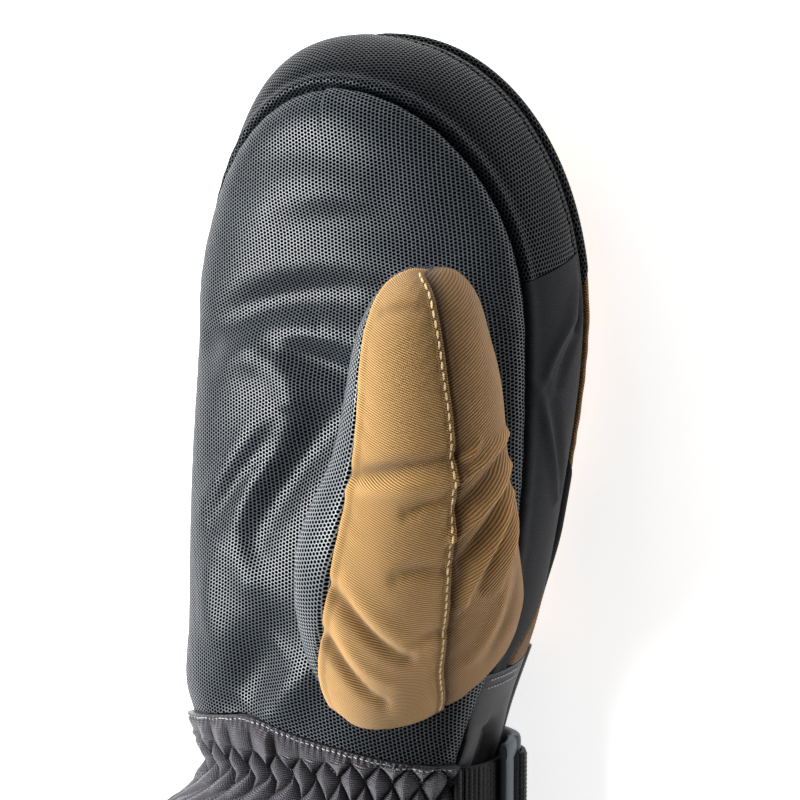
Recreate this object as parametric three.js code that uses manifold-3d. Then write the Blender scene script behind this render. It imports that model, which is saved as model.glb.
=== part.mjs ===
// A padded right-hand gauntlet mitten, lying on its back with the palm up.
// X runs from the little-finger side to the thumb side, Y from the cuff to the fingertips, Z is up.
// Lengths are in millimetres. The mitten is first drawn straight, with x across, s along and z up,
// and its finger end is then bent towards the palm.
import * as THREE from 'three';
import Module from 'manifold-3d';

const wasm = await Module();
wasm.setup();

// Walls, gaps and seams
const HAND_WALL = 5;
const CUFF_WALL = 2.5;
const HEM_WALL = 4;
const THUMB_WALL = 4;
const SEAM_GAP = 0.3;
const OVERHANG = 1.6;
const OVERHANG_AT = 0.26;
const GUSSET_BULGE = 4;
const TIP_BULGE = 5.5;

// The body of the mitten: seam lines and crowns at stations along it
const BODY = {
  s: [-109, -83, -59, -41, -29, -19, -11, 0, 12, 40, 80, 120, 160],
  indexPalmX: [72, 66, 55, 38, 27, 25, 26, 29.5, 34, 46, 53, 54.5, 54.5],
  indexBackX: [74, 68, 56, 39, 28, 26, 27, 30, 33, 41, 48.5, 54.5, 56.5],
  pinkyPalmX: [-99, -94, -88, -79, -69, -58, -55, -59, -61.5, -60.5, -58.5, -55.5, -53.5],
  pinkyBackX: [-94, -89, -82, -73, -63, -55, -53, -55, -56, -57, -57, -56, -55],
  palmZ: [54, 52, 49, 46, 43, 41, 41, 42, 43, 45, 46, 46, 44],
  backZ: [30, 28, 26, 24, 22, 20, 20, 19, 18, 14, 12, 12, 12],
  palmCrown: [36, 33, 29, 24, 20, 17, 17, 19, 20, 22, 22, 21, 20],
  backCrown: [30, 28, 24, 18, 12, 9, 9, 11, 13, 14, 14, 14, 14],
};
const CROWN_SIDE_POWER = 2.6;
const CROWN_TOP_POWER = 1.9;
const ARCH_START = 128;
const ARCH_TIP = { palm: 203, back: 203.5 };
const ARCH_POWER = { palm_index: 2.1, back_index: 2.3, palm_pinky: 1.82, back_pinky: 1.8 };
const CURL_START = 104;
const CURL_RADIUS = 250;
const CURL_MID_Z = 30;

// The palm's lower edge, and the lower edges of the sides and the back
const WRIST_EDGE = {
  x: [-62, -46, -30, -14, 4, 19, 34],
  s: [3, 6, 8.5, 5, 2, -0.5, -2],
};
const SIDE_FOOT = { palm: 12, back: 31 };
const BAND_START = 1.06;
const BAND_END = 1.94;

// The cuff: gathered at the palm, smooth at the back, then flared to the hem
const GATHER_FOOT = -30;
const CUFF_FOOT = -103;
const HEM_FOOT = -109;
const PALM_SHARE = 0.22;
const SIDE_SHARE = 0.31;
const PUFF_PITCHES = 13;
const PUFF_ROW = 6;
const PUFF_FIRST = -5;
const GATHER_ROWS = [0, 0, -5, -8, -11, -14, -17, -20, -23, -26, GATHER_FOOT + SEAM_GAP / 2];
const PUFF_HEIGHT = 2.4;
const FLUTE_COUNT = 12;
const FLUTE_HEIGHT = 2.6;
const FLUTE_FADE = 30;

// The thumb: a closed sack on a curved middle line
const THUMB = {
  t: [0, 0.12, 0.26, 0.42, 0.6, 0.8, 1],
  x: [24, 26, 30, 37, 43.5, 46, 47],
  y: [22.5, 33, 46, 68, 94, 122, 150],
  z: [40, 51, 63, 76, 84, 87, 86],
  halfWidth: [24, 29, 31, 28.5, 23.5, 20.5, 17],
  halfDepth: [16, 20, 22, 22, 20, 18, 15],
  innerBulge: [0, 2, 4, 6, 2, 0, 0],
};
const THUMB_FACING = 54;
const THUMB_POWER = 2.2;
const THUMB_TIP_FROM = 0.8;
const THUMB_BASE_TO = 0.22;
const THUMB_END_POWER = { base: 3.2, tip: 2.3 };
// Seam lines down the thumb, in degrees round it
const THUMB_SEAMS = {
  t: [0, 0.3, 0.45, 0.6, 0.75, 0.9, 1],
  frontRear: [-5, -1, 1, 3, 0, -9, -40],
  rearInner: [150, 150, 150, 150, 150, 150, 150],
  innerFront: [-88, -86, -81, -81, -80, -86, -110],
};
const THUMB_PANELS = {
  thumb_front_panel: { from: 'innerFront', to: 'frontRear', turn: 0, count: 7 },
  thumb_side_panel: { from: 'frontRear', to: 'rearInner', turn: 0, count: 8 },
  thumb_inner_panel: { from: 'rearInner', to: 'innerFront', turn: 360, count: 6 },
};
const THUMB_ROWS = { base: 3, middle: 9, tip: 6 };

// Folds: a ridge or valley along a bent line, with its width and its height, in millimetres
const PALM_FOLDS = [
  { from: [-54, 109], mid: [-18, 114], to: [14, 110], width: 7.5, height: -2.8 },
  { from: [-1, 108], mid: [-18, 92], to: [-31, 68], width: 5.5, height: 2.4 },
  { from: [7, 102], mid: [-10, 85], to: [-28, 60], width: 5.5, height: -2.8 },
  { from: [6, 93], mid: [1, 88], to: [-4, 80], width: 4, height: 1.4 },
  { from: [-56, 26], mid: [-30, 33], to: [-6, 35], width: 8, height: -2.4 },
  { from: [-10, 29], mid: [-16, 20], to: [-21, 11], width: 5, height: 1.6 },
  { from: [-32, 173], mid: [-18, 182], to: [-4, 186], width: 7, height: -1.1 },
  { from: [-50, 152], mid: [-20, 162], to: [6, 167], width: 9, height: -1.3 },
];
const BACK_FOLDS = [
  { from: [-40, 128], mid: [0, 134], to: [42, 127], width: 8, height: -1.4 },
  { from: [-42, 44], mid: [-8, 38], to: [30, 44], width: 7, height: -1.2 },
];
// On the thumb the two numbers are millimetres round it from its facing line and along it
const THUMB_FOLDS = [
  { from: [-36, 91], mid: [-17, 89], to: [0, 94.5], width: 2.6, height: -1.7 },
  { from: [-34, 61], mid: [-16, 56], to: [-9, 47], width: 3.4, height: -1.9 },
  { from: [-34, 54], mid: [-26, 48], to: [-20, 43], width: 3, height: -1.7 },
  { from: [18, 108], mid: [10, 106], to: [3, 103], width: 2.6, height: 1.3 },
  { from: [17, 104], mid: [9, 98], to: [2, 94], width: 2.4, height: 1.3 },
  { from: [16, 88], mid: [8, 83], to: [2, 78], width: 2.8, height: 1.5 },
  { from: [18, 85], mid: [11, 76], to: [4, 67], width: 2.6, height: 1.6 },
  { from: [27, 77], mid: [17, 62], to: [4, 48], width: 4, height: 2.1 },
];
const THUMB_LENGTH = 150;
const THUMB_MM_PER_DEGREE = 0.42;

// Strap and buckle at the wrist
const STRAP = { top: -3.5, width: 22, thick: 1.6, lift: 0.7, from: 0.205, to: 0.66 };
const BUCKLE = { length: 26, rail: 4.5, bar: 3.6, thick: 2.6, at: 0.33, over: 5 };
const TAIL_LENGTH = 30;

const COLOURS = {
  palm_panel: ['#1d1f22', 0.45],
  fingertip_band: ['#1b1d20', 0.45],
  index_side_panel: ['#1c212a', 0.7],
  pinky_side_panel: ['#1c212a', 0.7],
  back_panel: ['#a67a44', 0.85],
  thumb_front_panel: ['#a67a44', 0.85],
  thumb_side_panel: ['#a67a44', 0.85],
  thumb_inner_panel: ['#1d1f22', 0.45],
  wrist_gather: ['#5c5960', 0.8],
  wrist_back_panel: ['#5c5960', 0.8],
  gauntlet_cuff: ['#5c5960', 0.8],
  cuff_hem: ['#4c4a50', 0.8],
  wrist_strap: ['#15171a', 0.75],
  strap_tail: ['#15171a', 0.75],
  strap_buckle: ['#3a444c', 0.4],
};

const lerp = (a, b, t) => a + (b - a) * t;
const clamp = (v, low = 0, high = 1) => Math.min(high, Math.max(low, v));
const smooth = (v) => clamp(v) ** 2 * (3 - 2 * clamp(v));
const power = (v, p) => Math.sign(v) * Math.abs(v) ** p;
const radians = (v) => (v * Math.PI) / 180;
const add = (a, b, k = 1) => a.map((v, i) => v + k * b[i]);

// A smooth curve through a table's column
function column(table, key, name, at) {
  const xs = table[key];
  const ys = table[name];
  const last = xs.length - 1;
  const x = clamp(at, xs[0], xs[last]);
  let i = 0;
  while (i < last - 1 && x > xs[i + 1]) i += 1;
  const slope = (k) => {
    const a = Math.max(k - 1, 0);
    const b = Math.min(k + 1, last);
    return (ys[b] - ys[a]) / (xs[b] - xs[a]);
  };
  const h = xs[i + 1] - xs[i];
  const t = (x - xs[i]) / h;
  const rise = (t ** 3 - 2 * t ** 2 + t) * h * slope(i) + (t ** 3 - t ** 2) * h * slope(i + 1);
  return (2 * t ** 3 - 3 * t ** 2 + 1) * ys[i] + (3 * t ** 2 - 2 * t ** 3) * ys[i + 1] + rise;
}
const body = (name, s) => column(BODY, 's', name, s);

// The height that a table of folds adds at a point
function foldHeight(folds, u, v) {
  let height = 0;
  for (const fold of folds) {
    let nearest = Infinity;
    let along = 0;
    for (let i = 0; i <= 12; i += 1) {
      const t = i / 12;
      const x = (1 - t) ** 2 * fold.from[0] + 2 * t * (1 - t) * fold.mid[0] + t ** 2 * fold.to[0];
      const y = (1 - t) ** 2 * fold.from[1] + 2 * t * (1 - t) * fold.mid[1] + t ** 2 * fold.to[1];
      const d = Math.hypot(u - x, v - y);
      if (d < nearest) {
        nearest = d;
        along = t;
      }
    }
    const ends = 0.35 + 0.65 * Math.sin(Math.PI * clamp(along, 0.08, 0.92)) ** 0.7;
    height += fold.height * ends * Math.exp(-((nearest / fold.width) ** 2));
  }
  return height;
}

// The finger end bends towards the palm, and soft cloth lies flat on the surface under it
function bend([x, s, z]) {
  const turn = Math.max(0, s - CURL_START) / CURL_RADIUS;
  if (turn === 0) return [x, s, Math.max(0, z)];
  const radius = CURL_RADIUS - (z - CURL_MID_Z);
  const y = CURL_START + radius * Math.sin(turn);
  return [x, y, Math.max(0, CURL_MID_Z + CURL_RADIUS - radius * Math.cos(turn))];
}

const faceName = (side, face) => side + face[0].toUpperCase() + face.slice(1) + 'X';
function widthAt(face, s, inset) {
  return {
    index: body(faceName('index', face), s) - inset,
    pinky: body(faceName('pinky', face), s) + inset,
  };
}

// The seam line of a face: 0 to 1 up the index side, 1 to 2 round the tip, 2 to 3 down the other side
function seamPoint(face, a, inset, foot) {
  if (a < 1 || a > 2) {
    const side = a < 1 ? 'index' : 'pinky';
    const level = a < 1 ? a : 3 - a;
    const s = lerp(foot, ARCH_START, level);
    const width = widthAt(face, s, inset);
    return { x: width[side], s, level };
  }
  const angle = Math.PI * (a - 1);
  const width = widthAt(face, ARCH_START, inset);
  const middle = (width.index + width.pinky) / 2;
  const half = (width.index - width.pinky) / 2;
  const p = 2 / ARCH_POWER[face + (Math.cos(angle) > 0 ? '_index' : '_pinky')];
  const reach = ARCH_TIP[face] - inset - ARCH_START;
  return { x: middle + half * power(Math.cos(angle), p), s: ARCH_START + reach * Math.sin(angle) ** p };
}

// The profile of a padded plate from its seam (rise 0) to its middle line (rise 1)
function profile(rise) {
  const angle = (rise * Math.PI) / 2;
  const near = angle / OVERHANG_AT;
  return {
    share: Math.max(0, Math.cos(angle)) ** (2 / CROWN_SIDE_POWER),
    height: Math.sin(angle) ** (2 / CROWN_TOP_POWER),
    over: OVERHANG * near * Math.exp(1 - near) * Math.max(0, Math.cos(angle)),
  };
}

// A point on the skin of the palm or the back
function plateSkin(face, a, rise, inset) {
  const foot = face === 'palm' ? 0 : SIDE_FOOT.back;
  const seam = seamPoint(face, a, inset, foot);
  const { share, height, over } = profile(rise);
  const s0 = Math.min(seam.s, ARCH_START);
  const width = widthAt(face, s0, inset);
  const middle = (width.index + width.pinky) / 2;
  const across = seam.x - middle;
  const along = seam.s - s0;
  const far = Math.hypot(across, along) || 1;
  const x = middle + across * share + (across / far) * over;
  let s = s0 + along * share + (along / far) * over;
  if (seam.level !== undefined && face === 'palm') {
    s += column(WRIST_EDGE, 'x', 's', x) * (1 - seam.level);
  }
  const sign = face === 'palm' ? 1 : -1;
  const folds = inset > 0 ? 0 : foldHeight(face === 'palm' ? PALM_FOLDS : BACK_FOLDS, x, s);
  const crown = (body(face + 'Crown', s) - inset) * height + folds * smooth(height * 1.6);
  return [x, s, body(face + 'Z', s) + sign * (crown + SEAM_GAP / 2)];
}

// The way out of the seam line, square to it
function outward(a, inset) {
  if (a <= 1) return [1, 0];
  if (a >= 2) return [-1, 0];
  const before = seamPoint('palm', Math.max(a - 1e-3, 1), inset, 0);
  const after = seamPoint('palm', Math.min(a + 1e-3, 2), inset, 0);
  const long = Math.hypot(after.x - before.x, after.s - before.s);
  return [(after.s - before.s) / long, (before.x - after.x) / long];
}

// A point on the strip between the palm seam (w 0) and the back seam (w 1)
function gussetSkin(a, w, inset, palmFoot, backFoot) {
  const top = seamPoint('palm', a, inset, palmFoot);
  const foot = seamPoint('back', a, inset, backFoot);
  const [outX, outS] = outward(a, inset);
  const tip = smooth((top.s - ARCH_START) / (ARCH_TIP.palm - ARCH_START));
  const bulge = lerp(GUSSET_BULGE, TIP_BULGE, tip) * (4 * w * (1 - w)) ** 0.8;
  const s = lerp(top.s, foot.s, w) + outS * bulge;
  const x = lerp(top.x, foot.x, w) + outX * bulge;
  const high = body('palmZ', s) - SEAM_GAP / 2;
  return [x, s, lerp(high, body('backZ', s) + SEAM_GAP / 2, w)];
}

// The closed outline across the mitten at one station, as points a fixed share of the way round
const sectionCache = new Map();
function sectionSpans(s, inset) {
  const key = s.toFixed(3) + '_' + inset.toFixed(3);
  if (sectionCache.has(key)) return sectionCache.get(key);
  const plate = (face, side, rise) => {
    const width = widthAt(face, s, inset);
    const middle = (width.index + width.pinky) / 2;
    const { share, height, over } = profile(rise);
    const half = (width[side] - middle) * share + Math.sign(width[side] - middle) * over;
    const sign = face === 'palm' ? 1 : -1;
    return [middle + half, body(face + 'Z', s) + sign * (body(face + 'Crown', s) - inset) * height];
  };
  const strip = (side, w) => {
    const out = side === 'index' ? 1 : -1;
    const top = widthAt('palm', s, inset)[side];
    const foot = widthAt('back', s, inset)[side];
    const bulge = GUSSET_BULGE * (4 * w * (1 - w)) ** 0.8;
    return [lerp(top, foot, w) + out * bulge, lerp(body('palmZ', s), body('backZ', s), w)];
  };
  const spans = [
    even((t) => plate('palm', 'index', 1 - t)),
    even((t) => strip('index', t)),
    even((t) => plate('back', 'index', t)),
    even((t) => plate('back', 'pinky', 1 - t)),
    even((t) => strip('pinky', 1 - t)),
    even((t) => plate('palm', 'pinky', t)),
  ];
  sectionCache.set(key, spans);
  return spans;
}

// A path re-read by its own length
function even(path, count = 60) {
  const points = [];
  const lengths = [0];
  for (let i = 0; i <= count; i += 1) {
    points.push(path(i / count));
    if (i > 0) {
      const [a, b] = [points[i - 1], points[i]];
      lengths.push(lengths[i - 1] + Math.hypot(b[0] - a[0], b[1] - a[1]));
    }
  }
  return (t) => {
    const want = clamp(t) * lengths[count];
    let i = 0;
    while (i < count - 1 && lengths[i + 1] < want) i += 1;
    const part = (want - lengths[i]) / (lengths[i + 1] - lengths[i] || 1);
    return [lerp(points[i][0], points[i + 1][0], part), lerp(points[i][1], points[i + 1][1], part)];
  };
}

const SHARES = [0, PALM_SHARE, SIDE_SHARE, 0.5, 1 - SIDE_SHARE, 1 - PALM_SHARE, 1];
function sectionPoint(p, s, inset) {
  const share = ((p % 1) + 1) % 1;
  let i = 0;
  while (i < 5 && share > SHARES[i + 1]) i += 1;
  return sectionSpans(s, inset)[i]((share - SHARES[i]) / (SHARES[i + 1] - SHARES[i]));
}

// The same point pushed out square to the outline
function tubeSkin(p, s, inset, push = 0) {
  const [x, z] = sectionPoint(p, s, inset);
  if (push === 0) return [x, s, z];
  const a = sectionPoint(p - 0.004, s, inset);
  const b = sectionPoint(p + 0.004, s, inset);
  const long = Math.hypot(b[0] - a[0], b[1] - a[1]) || 1;
  return [x - ((b[1] - a[1]) / long) * push, s, z + ((b[0] - a[0]) / long) * push];
}

// The thumb's skin, u degrees round it and t along it
function thumbMiddle(t) {
  return ['x', 'y', 'z'].map((name) => column(THUMB, 't', name, t));
}
function thumbFrame(t) {
  const ahead = new THREE.Vector3(...thumbMiddle(clamp(t + 0.02)));
  const tangent = ahead.sub(new THREE.Vector3(...thumbMiddle(clamp(t - 0.02)))).normalize();
  const facing = radians(THUMB_FACING);
  const front = new THREE.Vector3(Math.sin(facing), 0, Math.cos(facing));
  front.addScaledVector(tangent, -tangent.dot(front)).normalize();
  return { front, right: new THREE.Vector3().crossVectors(tangent, front) };
}
function thumbSkin(degrees, t, inset, nudge = [0, 0]) {
  const { front, right } = thumbFrame(t);
  const tip = clamp((t - THUMB_TIP_FROM) / (1 - THUMB_TIP_FROM));
  const base = clamp((THUMB_BASE_TO - t) / THUMB_BASE_TO);
  const round = (v, p) => Math.sqrt(Math.max(0, 1 - v ** p));
  const cap = round(tip, THUMB_END_POWER.tip) * round(base, THUMB_END_POWER.base);
  const angle = radians(degrees);
  const away = ((degrees + 108 + 540) % 360) - 180;
  const bulge = column(THUMB, 't', 'innerBulge', t) * Math.exp(-((away / 30) ** 2));
  const folds = inset > 0 ? 0 : foldHeight(THUMB_FOLDS, degrees * THUMB_MM_PER_DEGREE, t * THUMB_LENGTH);
  const grow = folds + bulge - inset;
  const deep = (column(THUMB, 't', 'halfDepth', t) + grow) * cap * power(Math.cos(angle), 2 / THUMB_POWER);
  const wide = (column(THUMB, 't', 'halfWidth', t) + grow) * cap * power(Math.sin(angle), 2 / THUMB_POWER);
  const shift = inset > 0 ? (tip > 0 ? -inset * tip ** 6 : 0) : 0;
  const point = new THREE.Vector3(...thumbMiddle(t));
  point.addScaledVector(front, deep + nudge[0]).addScaledVector(right, wide + nudge[1]);
  return [point.x, point.y + shift, point.z];
}

// A closed solid from a grid of points; each side is closed, wrapped or left to meet itself
function gridSolid(countU, countV, outer, inner, sides) {
  const positions = [];
  const faces = [];
  const index = (layer, i, j) => (layer * (countU + 1) + i) * (countV + 1) + j;
  for (const skin of [outer, inner]) {
    for (let i = 0; i <= countU; i += 1) {
      for (let j = 0; j <= countV; j += 1) positions.push(skin(i / countU, j / countV));
    }
  }
  const quad = (a, b, c, d) => faces.push([a, b, c], [a, c, d]);
  for (let i = 0; i < countU; i += 1) {
    for (let j = 0; j < countV; j += 1) {
      quad(index(0, i, j), index(0, i + 1, j), index(0, i + 1, j + 1), index(0, i, j + 1));
      quad(index(1, i, j), index(1, i, j + 1), index(1, i + 1, j + 1), index(1, i + 1, j));
    }
  }
  for (let i = 0; i < countU; i += 1) {
    if (sides.low) quad(index(0, i + 1, 0), index(0, i, 0), index(1, i, 0), index(1, i + 1, 0));
    const j = countV;
    if (sides.high) quad(index(0, i, j), index(0, i + 1, j), index(1, i + 1, j), index(1, i, j));
  }
  for (let j = 0; j < countV; j += 1) {
    if (sides.start) quad(index(0, 0, j), index(0, 0, j + 1), index(1, 0, j + 1), index(1, 0, j));
    const i = countU;
    if (sides.end) quad(index(0, i, j + 1), index(0, i, j), index(1, i, j), index(1, i, j + 1));
  }
  return closeMesh(positions, faces);
}

// Shared points are merged, empty triangles dropped, and the outside is turned out
function closeMesh(positions, faces) {
  const merged = [];
  const seen = new Map();
  const renamed = positions.map((point) => {
    const key = point.map((v) => Math.round(v * 500)).join('_');
    if (!seen.has(key)) {
      seen.set(key, merged.length);
      merged.push(point);
    }
    return seen.get(key);
  });
  const kept = [];
  let volume = 0;
  for (const face of faces) {
    const [a, b, c] = face.map((i) => renamed[i]);
    if (a === b || b === c || a === c) continue;
    kept.push([a, b, c]);
    const [p, q, r] = [merged[a], merged[b], merged[c]].map((v) => new THREE.Vector3(...v));
    volume += p.dot(q.cross(r)) / 6;
  }
  if (volume < 0) kept.forEach((face) => face.reverse());
  return { points: merged, faces: kept };
}

function toManifold({ points, faces }) {
  const mesh = new wasm.Mesh({
    numProp: 3,
    vertProperties: new Float32Array(points.flat()),
    triVerts: new Uint32Array(faces.flat()),
  });
  mesh.merge();
  return new wasm.Manifold(mesh);
}

function fromManifold(manifold) {
  const mesh = manifold.getMesh();
  const points = [];
  for (let i = 0; i < mesh.vertProperties.length; i += mesh.numProp) {
    points.push(Array.from(mesh.vertProperties.slice(i, i + 3)));
  }
  const faces = [];
  for (let i = 0; i < mesh.triVerts.length; i += 3) faces.push(Array.from(mesh.triVerts.slice(i, i + 3)));
  return { points, faces };
}

// Panels of the hand
function plate(face, rows, round, rises) {
  const count = rows * 2 + round;
  const at = (u) => {
    const k = u * count;
    if (k <= rows) return k / rows;
    return k >= rows + round ? 2 + (k - rows - round) / rows : 1 + (k - rows) / round;
  };
  const skin = (inset) => (u, v) => bend(plateSkin(face, at(u), v, inset));
  return gridSolid(count, rises, skin(0), skin(HAND_WALL), { low: true, start: true, end: true });
}

function sideStrip(from, to, count, across, palmFoot, backFoot) {
  const trim = 0.0008;
  const low = from === 0 ? 0 : from + trim;
  const high = to === 3 ? 3 : to - trim;
  const skin = (inset) => (u, w) => {
    const foot = lerp(palmFoot, backFoot, w);
    return bend(gussetSkin(lerp(low, high, u), w, inset, foot, foot));
  };
  const sides = { low: true, high: true, start: true, end: true };
  return gridSolid(count, across, skin(0), skin(HAND_WALL), sides);
}

// The space inside the hand, used to trim the thumb where it passes through the palm
function handHollow() {
  const rings = 40;
  const skin = (u, v) => {
    const a = u * 3;
    const q = v * 3;
    if (q <= 1) return bend(plateSkin('palm', a, 1 - q, HAND_WALL));
    if (q <= 2) return bend(gussetSkin(a, q - 1, HAND_WALL, 0, SIDE_FOOT.back));
    return bend(plateSkin('back', a, q - 2, HAND_WALL));
  };
  const positions = [];
  const faces = [];
  const steps = 18;
  for (let i = 0; i <= rings; i += 1) {
    for (let j = 0; j <= steps; j += 1) positions.push(skin(i / rings, j / steps));
  }
  const index = (i, j) => i * (steps + 1) + j;
  for (let j = 0; j < steps; j += 1) {
    for (let i = 0; i < rings; i += 1) {
      faces.push([index(i, j), index(i + 1, j), index(i + 1, j + 1)]);
      faces.push([index(i, j), index(i + 1, j + 1), index(i, j + 1)]);
    }
    faces.push([index(rings, j), index(0, j), index(0, j + 1)]);
    faces.push([index(rings, j), index(0, j + 1), index(rings, j + 1)]);
  }
  return toManifold(closeMesh(positions, faces));
}

// The thumb's rows lie closer together at its two round ends
const thumbRowCount = THUMB_ROWS.base + THUMB_ROWS.middle + THUMB_ROWS.tip;
function thumbRow(k) {
  const { base, middle } = THUMB_ROWS;
  if (k <= base) return THUMB_BASE_TO * (1 - Math.cos((Math.PI / 2) * (k / base)));
  if (k <= base + middle) return lerp(THUMB_BASE_TO, THUMB_TIP_FROM, (k - base) / middle);
  const part = (k - base - middle) / THUMB_ROWS.tip;
  return lerp(THUMB_TIP_FROM, 1, Math.sin((Math.PI / 2) * part));
}

// The thumb's outside as one solid, with the same points round it as its three panels
function thumbAngle(k, t) {
  let left = k;
  for (const { from, to, turn, count } of Object.values(THUMB_PANELS)) {
    if (left <= count) {
      const start = column(THUMB_SEAMS, 't', from, t);
      return lerp(start, column(THUMB_SEAMS, 't', to, t) + turn, left / count);
    }
    left -= count;
  }
  return 0;
}
function thumbSolid(inset) {
  const countU = Object.values(THUMB_PANELS).reduce((sum, panel) => sum + panel.count, 0);
  const positions = [];
  const faces = [];
  for (let i = 0; i < countU; i += 1) {
    for (let j = 0; j <= thumbRowCount; j += 1) {
      const t = thumbRow(j);
      positions.push(thumbSkin(thumbAngle(i, t), t, inset));
    }
  }
  const index = (i, j) => (i % countU) * (thumbRowCount + 1) + j;
  for (let i = 0; i < countU; i += 1) {
    for (let j = 0; j < thumbRowCount; j += 1) {
      faces.push([index(i, j), index(i + 1, j), index(i + 1, j + 1)]);
      faces.push([index(i, j), index(i + 1, j + 1), index(i, j + 1)]);
    }
  }
  return closeMesh(positions, faces);
}

function thumbPanel({ from, to, turn, count }) {
  const skin = (inset) => (u, v) => {
    const t = thumbRow(Math.round(v * thumbRowCount));
    const start = column(THUMB_SEAMS, 't', from, t);
    const end = column(THUMB_SEAMS, 't', to, t) + turn;
    const [a, b] = [radians(start), radians(end)];
    const edgeA = [-Math.sin(a), Math.cos(a)];
    const edgeB = [Math.sin(b), -Math.cos(b)];
    const half = (b - a) / 2;
    const pole = (SEAM_GAP / 2 / Math.sin(Math.min(half, Math.PI / 2))) || 0;
    const bisector = [Math.cos((a + b) / 2) * pole, Math.sin((a + b) / 2) * pole];
    const side = [0, 1].map((k) => lerp(edgeA[k], edgeB[k], u) * (SEAM_GAP / 2));
    const nearPole = t < 1e-9 || t > 1 - 1e-9;
    return thumbSkin(lerp(start, end, u), t, inset, nearPole ? bisector : side);
  };
  return gridSolid(count, thumbRowCount, skin(0), skin(THUMB_WALL), { start: true, end: true });
}

// The cuff's panels
function gatherSkin(inset) {
  return (u, v) => {
    const p = lerp(-PALM_SHARE, PALM_SHARE, u) * 0.994;
    const top = column(WRIST_EDGE, 'x', 's', sectionPoint(p, 0, 0)[0]) - 2 * SEAM_GAP;
    const row = Math.round(v * GATHER_ROWS.length);
    const s = row < 3 ? lerp(top, PUFF_FIRST, row / 3) : GATHER_ROWS[row - 1];
    if (inset > 0) return tubeSkin(p, s, inset);
    return tubeSkin(p, s, 0, puffHeight(u, s, top));
  };
}

// Stitches hold the gathers down in rows half a pitch apart, with a lens-shaped puff between them
function puffHeight(u, s, top) {
  const around = u * PUFF_PITCHES;
  const k = (PUFF_FIRST - s) / PUFF_ROW;
  const cross = Math.sin(Math.PI * (around + k / 2)) * Math.sin(Math.PI * (around - k / 2));
  const full = smooth((s - PUFF_FIRST) / (top - PUFF_FIRST));
  const edge = smooth((top - s) / 2) * smooth(u * 50) * smooth((1 - u) * 50);
  return PUFF_HEIGHT * lerp(Math.abs(cross) ** 0.6, 0.75, full) * edge;
}

// Where the side panels end, which is higher up the mitten towards the back
function sideFoot(p, inset) {
  let s = SIDE_FOOT.back;
  for (let i = 0; i < 12; i += 1) {
    const z = sectionPoint(p, s, inset)[1];
    const down = (body('palmZ', s) - z) / (body('palmZ', s) - body('backZ', s));
    s = lerp(s, lerp(SIDE_FOOT.palm, SIDE_FOOT.back, clamp(down)), 0.7);
  }
  return s;
}
function wristBackSkin(inset) {
  return (u, v) => {
    const margin = 0.0012;
    const p = lerp(PALM_SHARE + margin, 1 - PALM_SHARE - margin, u);
    return tubeSkin(p, lerp(sideFoot(p, inset) - SEAM_GAP * 1.5, GATHER_FOOT + SEAM_GAP / 2, v), inset);
  };
}

function cuffSkin(inset) {
  return (u, v) => {
    const s = lerp(GATHER_FOOT - SEAM_GAP / 2, CUFF_FOOT + SEAM_GAP / 2, v);
    const fade = Math.exp((s - GATHER_FOOT) / FLUTE_FADE) * smooth(v * 12);
    const wave = 0.5 + 0.5 * Math.cos(2 * Math.PI * FLUTE_COUNT * u);
    const lying = smooth(Math.abs(u - 0.5) * 5);
    return tubeSkin(u, s, inset, inset > 0 ? 0 : FLUTE_HEIGHT * wave * fade * lying);
  };
}

function hemSkin(inset) {
  return (u, v) => {
    const s = lerp(CUFF_FOOT - SEAM_GAP / 2, HEM_FOOT, v);
    const fat = 0.7 * Math.sin(Math.PI * clamp(v, 0.12, 0.88));
    return tubeSkin(u, s, inset, inset > 0 ? 0 : fat);
  };
}

const tube = (skin, wall, countU, countV) => {
  const wrapped = (inset) => (u, v) => bend(skin(inset)(u === 1 ? 0 : u, v));
  return gridSolid(countU, countV, wrapped(0), wrapped(wall), { low: true, high: true });
};
const patch = (skin, wall, countU, countV) => {
  const bent = (inset) => (u, v) => bend(skin(inset)(u, v));
  const sides = { low: true, high: true, start: true, end: true };
  return gridSolid(countU, countV, bent(0), bent(wall), sides);
};

// The strap's path round the wrist: the widest outline under it, seen from the wrist's middle
function sectionCentre() {
  const s = STRAP.top - STRAP.width / 2;
  const width = widthAt('palm', s, 0);
  return [(width.index + width.pinky) / 2, (body('palmZ', s) + body('backZ', s)) / 2];
}
const CENTRE = sectionCentre();
const bearing = ([x, z]) => Math.atan2(CENTRE[1] - z, x - CENTRE[0]);
const strapLevels = [-0.15, 0, 0.3, 0.6, 0.9, 1.15].map((k) => {
  const s = STRAP.top - k * STRAP.width;
  const ring = [];
  for (let i = 0; i <= 300; i += 1) {
    const point = sectionPoint(lerp(PALM_SHARE - 0.05, 1.05 - PALM_SHARE, i / 300), s, 0);
    ring.push([bearing(point), Math.hypot(point[0] - CENTRE[0], point[1] - CENTRE[1])]);
  }
  for (let i = 1; i < ring.length; i += 1) {
    while (ring[i][0] < ring[i - 1][0] - Math.PI) ring[i][0] += 2 * Math.PI;
  }
  return ring;
});
function strapGround(angle) {
  let far = 0;
  for (const ring of strapLevels) {
    let i = 0;
    while (i < ring.length - 2 && ring[i + 1][0] < angle) i += 1;
    const part = clamp((angle - ring[i][0]) / (ring[i + 1][0] - ring[i][0]));
    far = Math.max(far, lerp(ring[i][1], ring[i + 1][1], part));
  }
  return [CENTRE[0] + far * Math.cos(angle), CENTRE[1] - far * Math.sin(angle)];
}
const strapStart = bearing(sectionPoint(STRAP.from, STRAP.top - STRAP.width / 2, 0));
const strapEnd = bearing(sectionPoint(STRAP.to, STRAP.top - STRAP.width / 2, 0));
const ground = even((t) => strapGround(lerp(strapStart, strapEnd, t)), 160);
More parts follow.
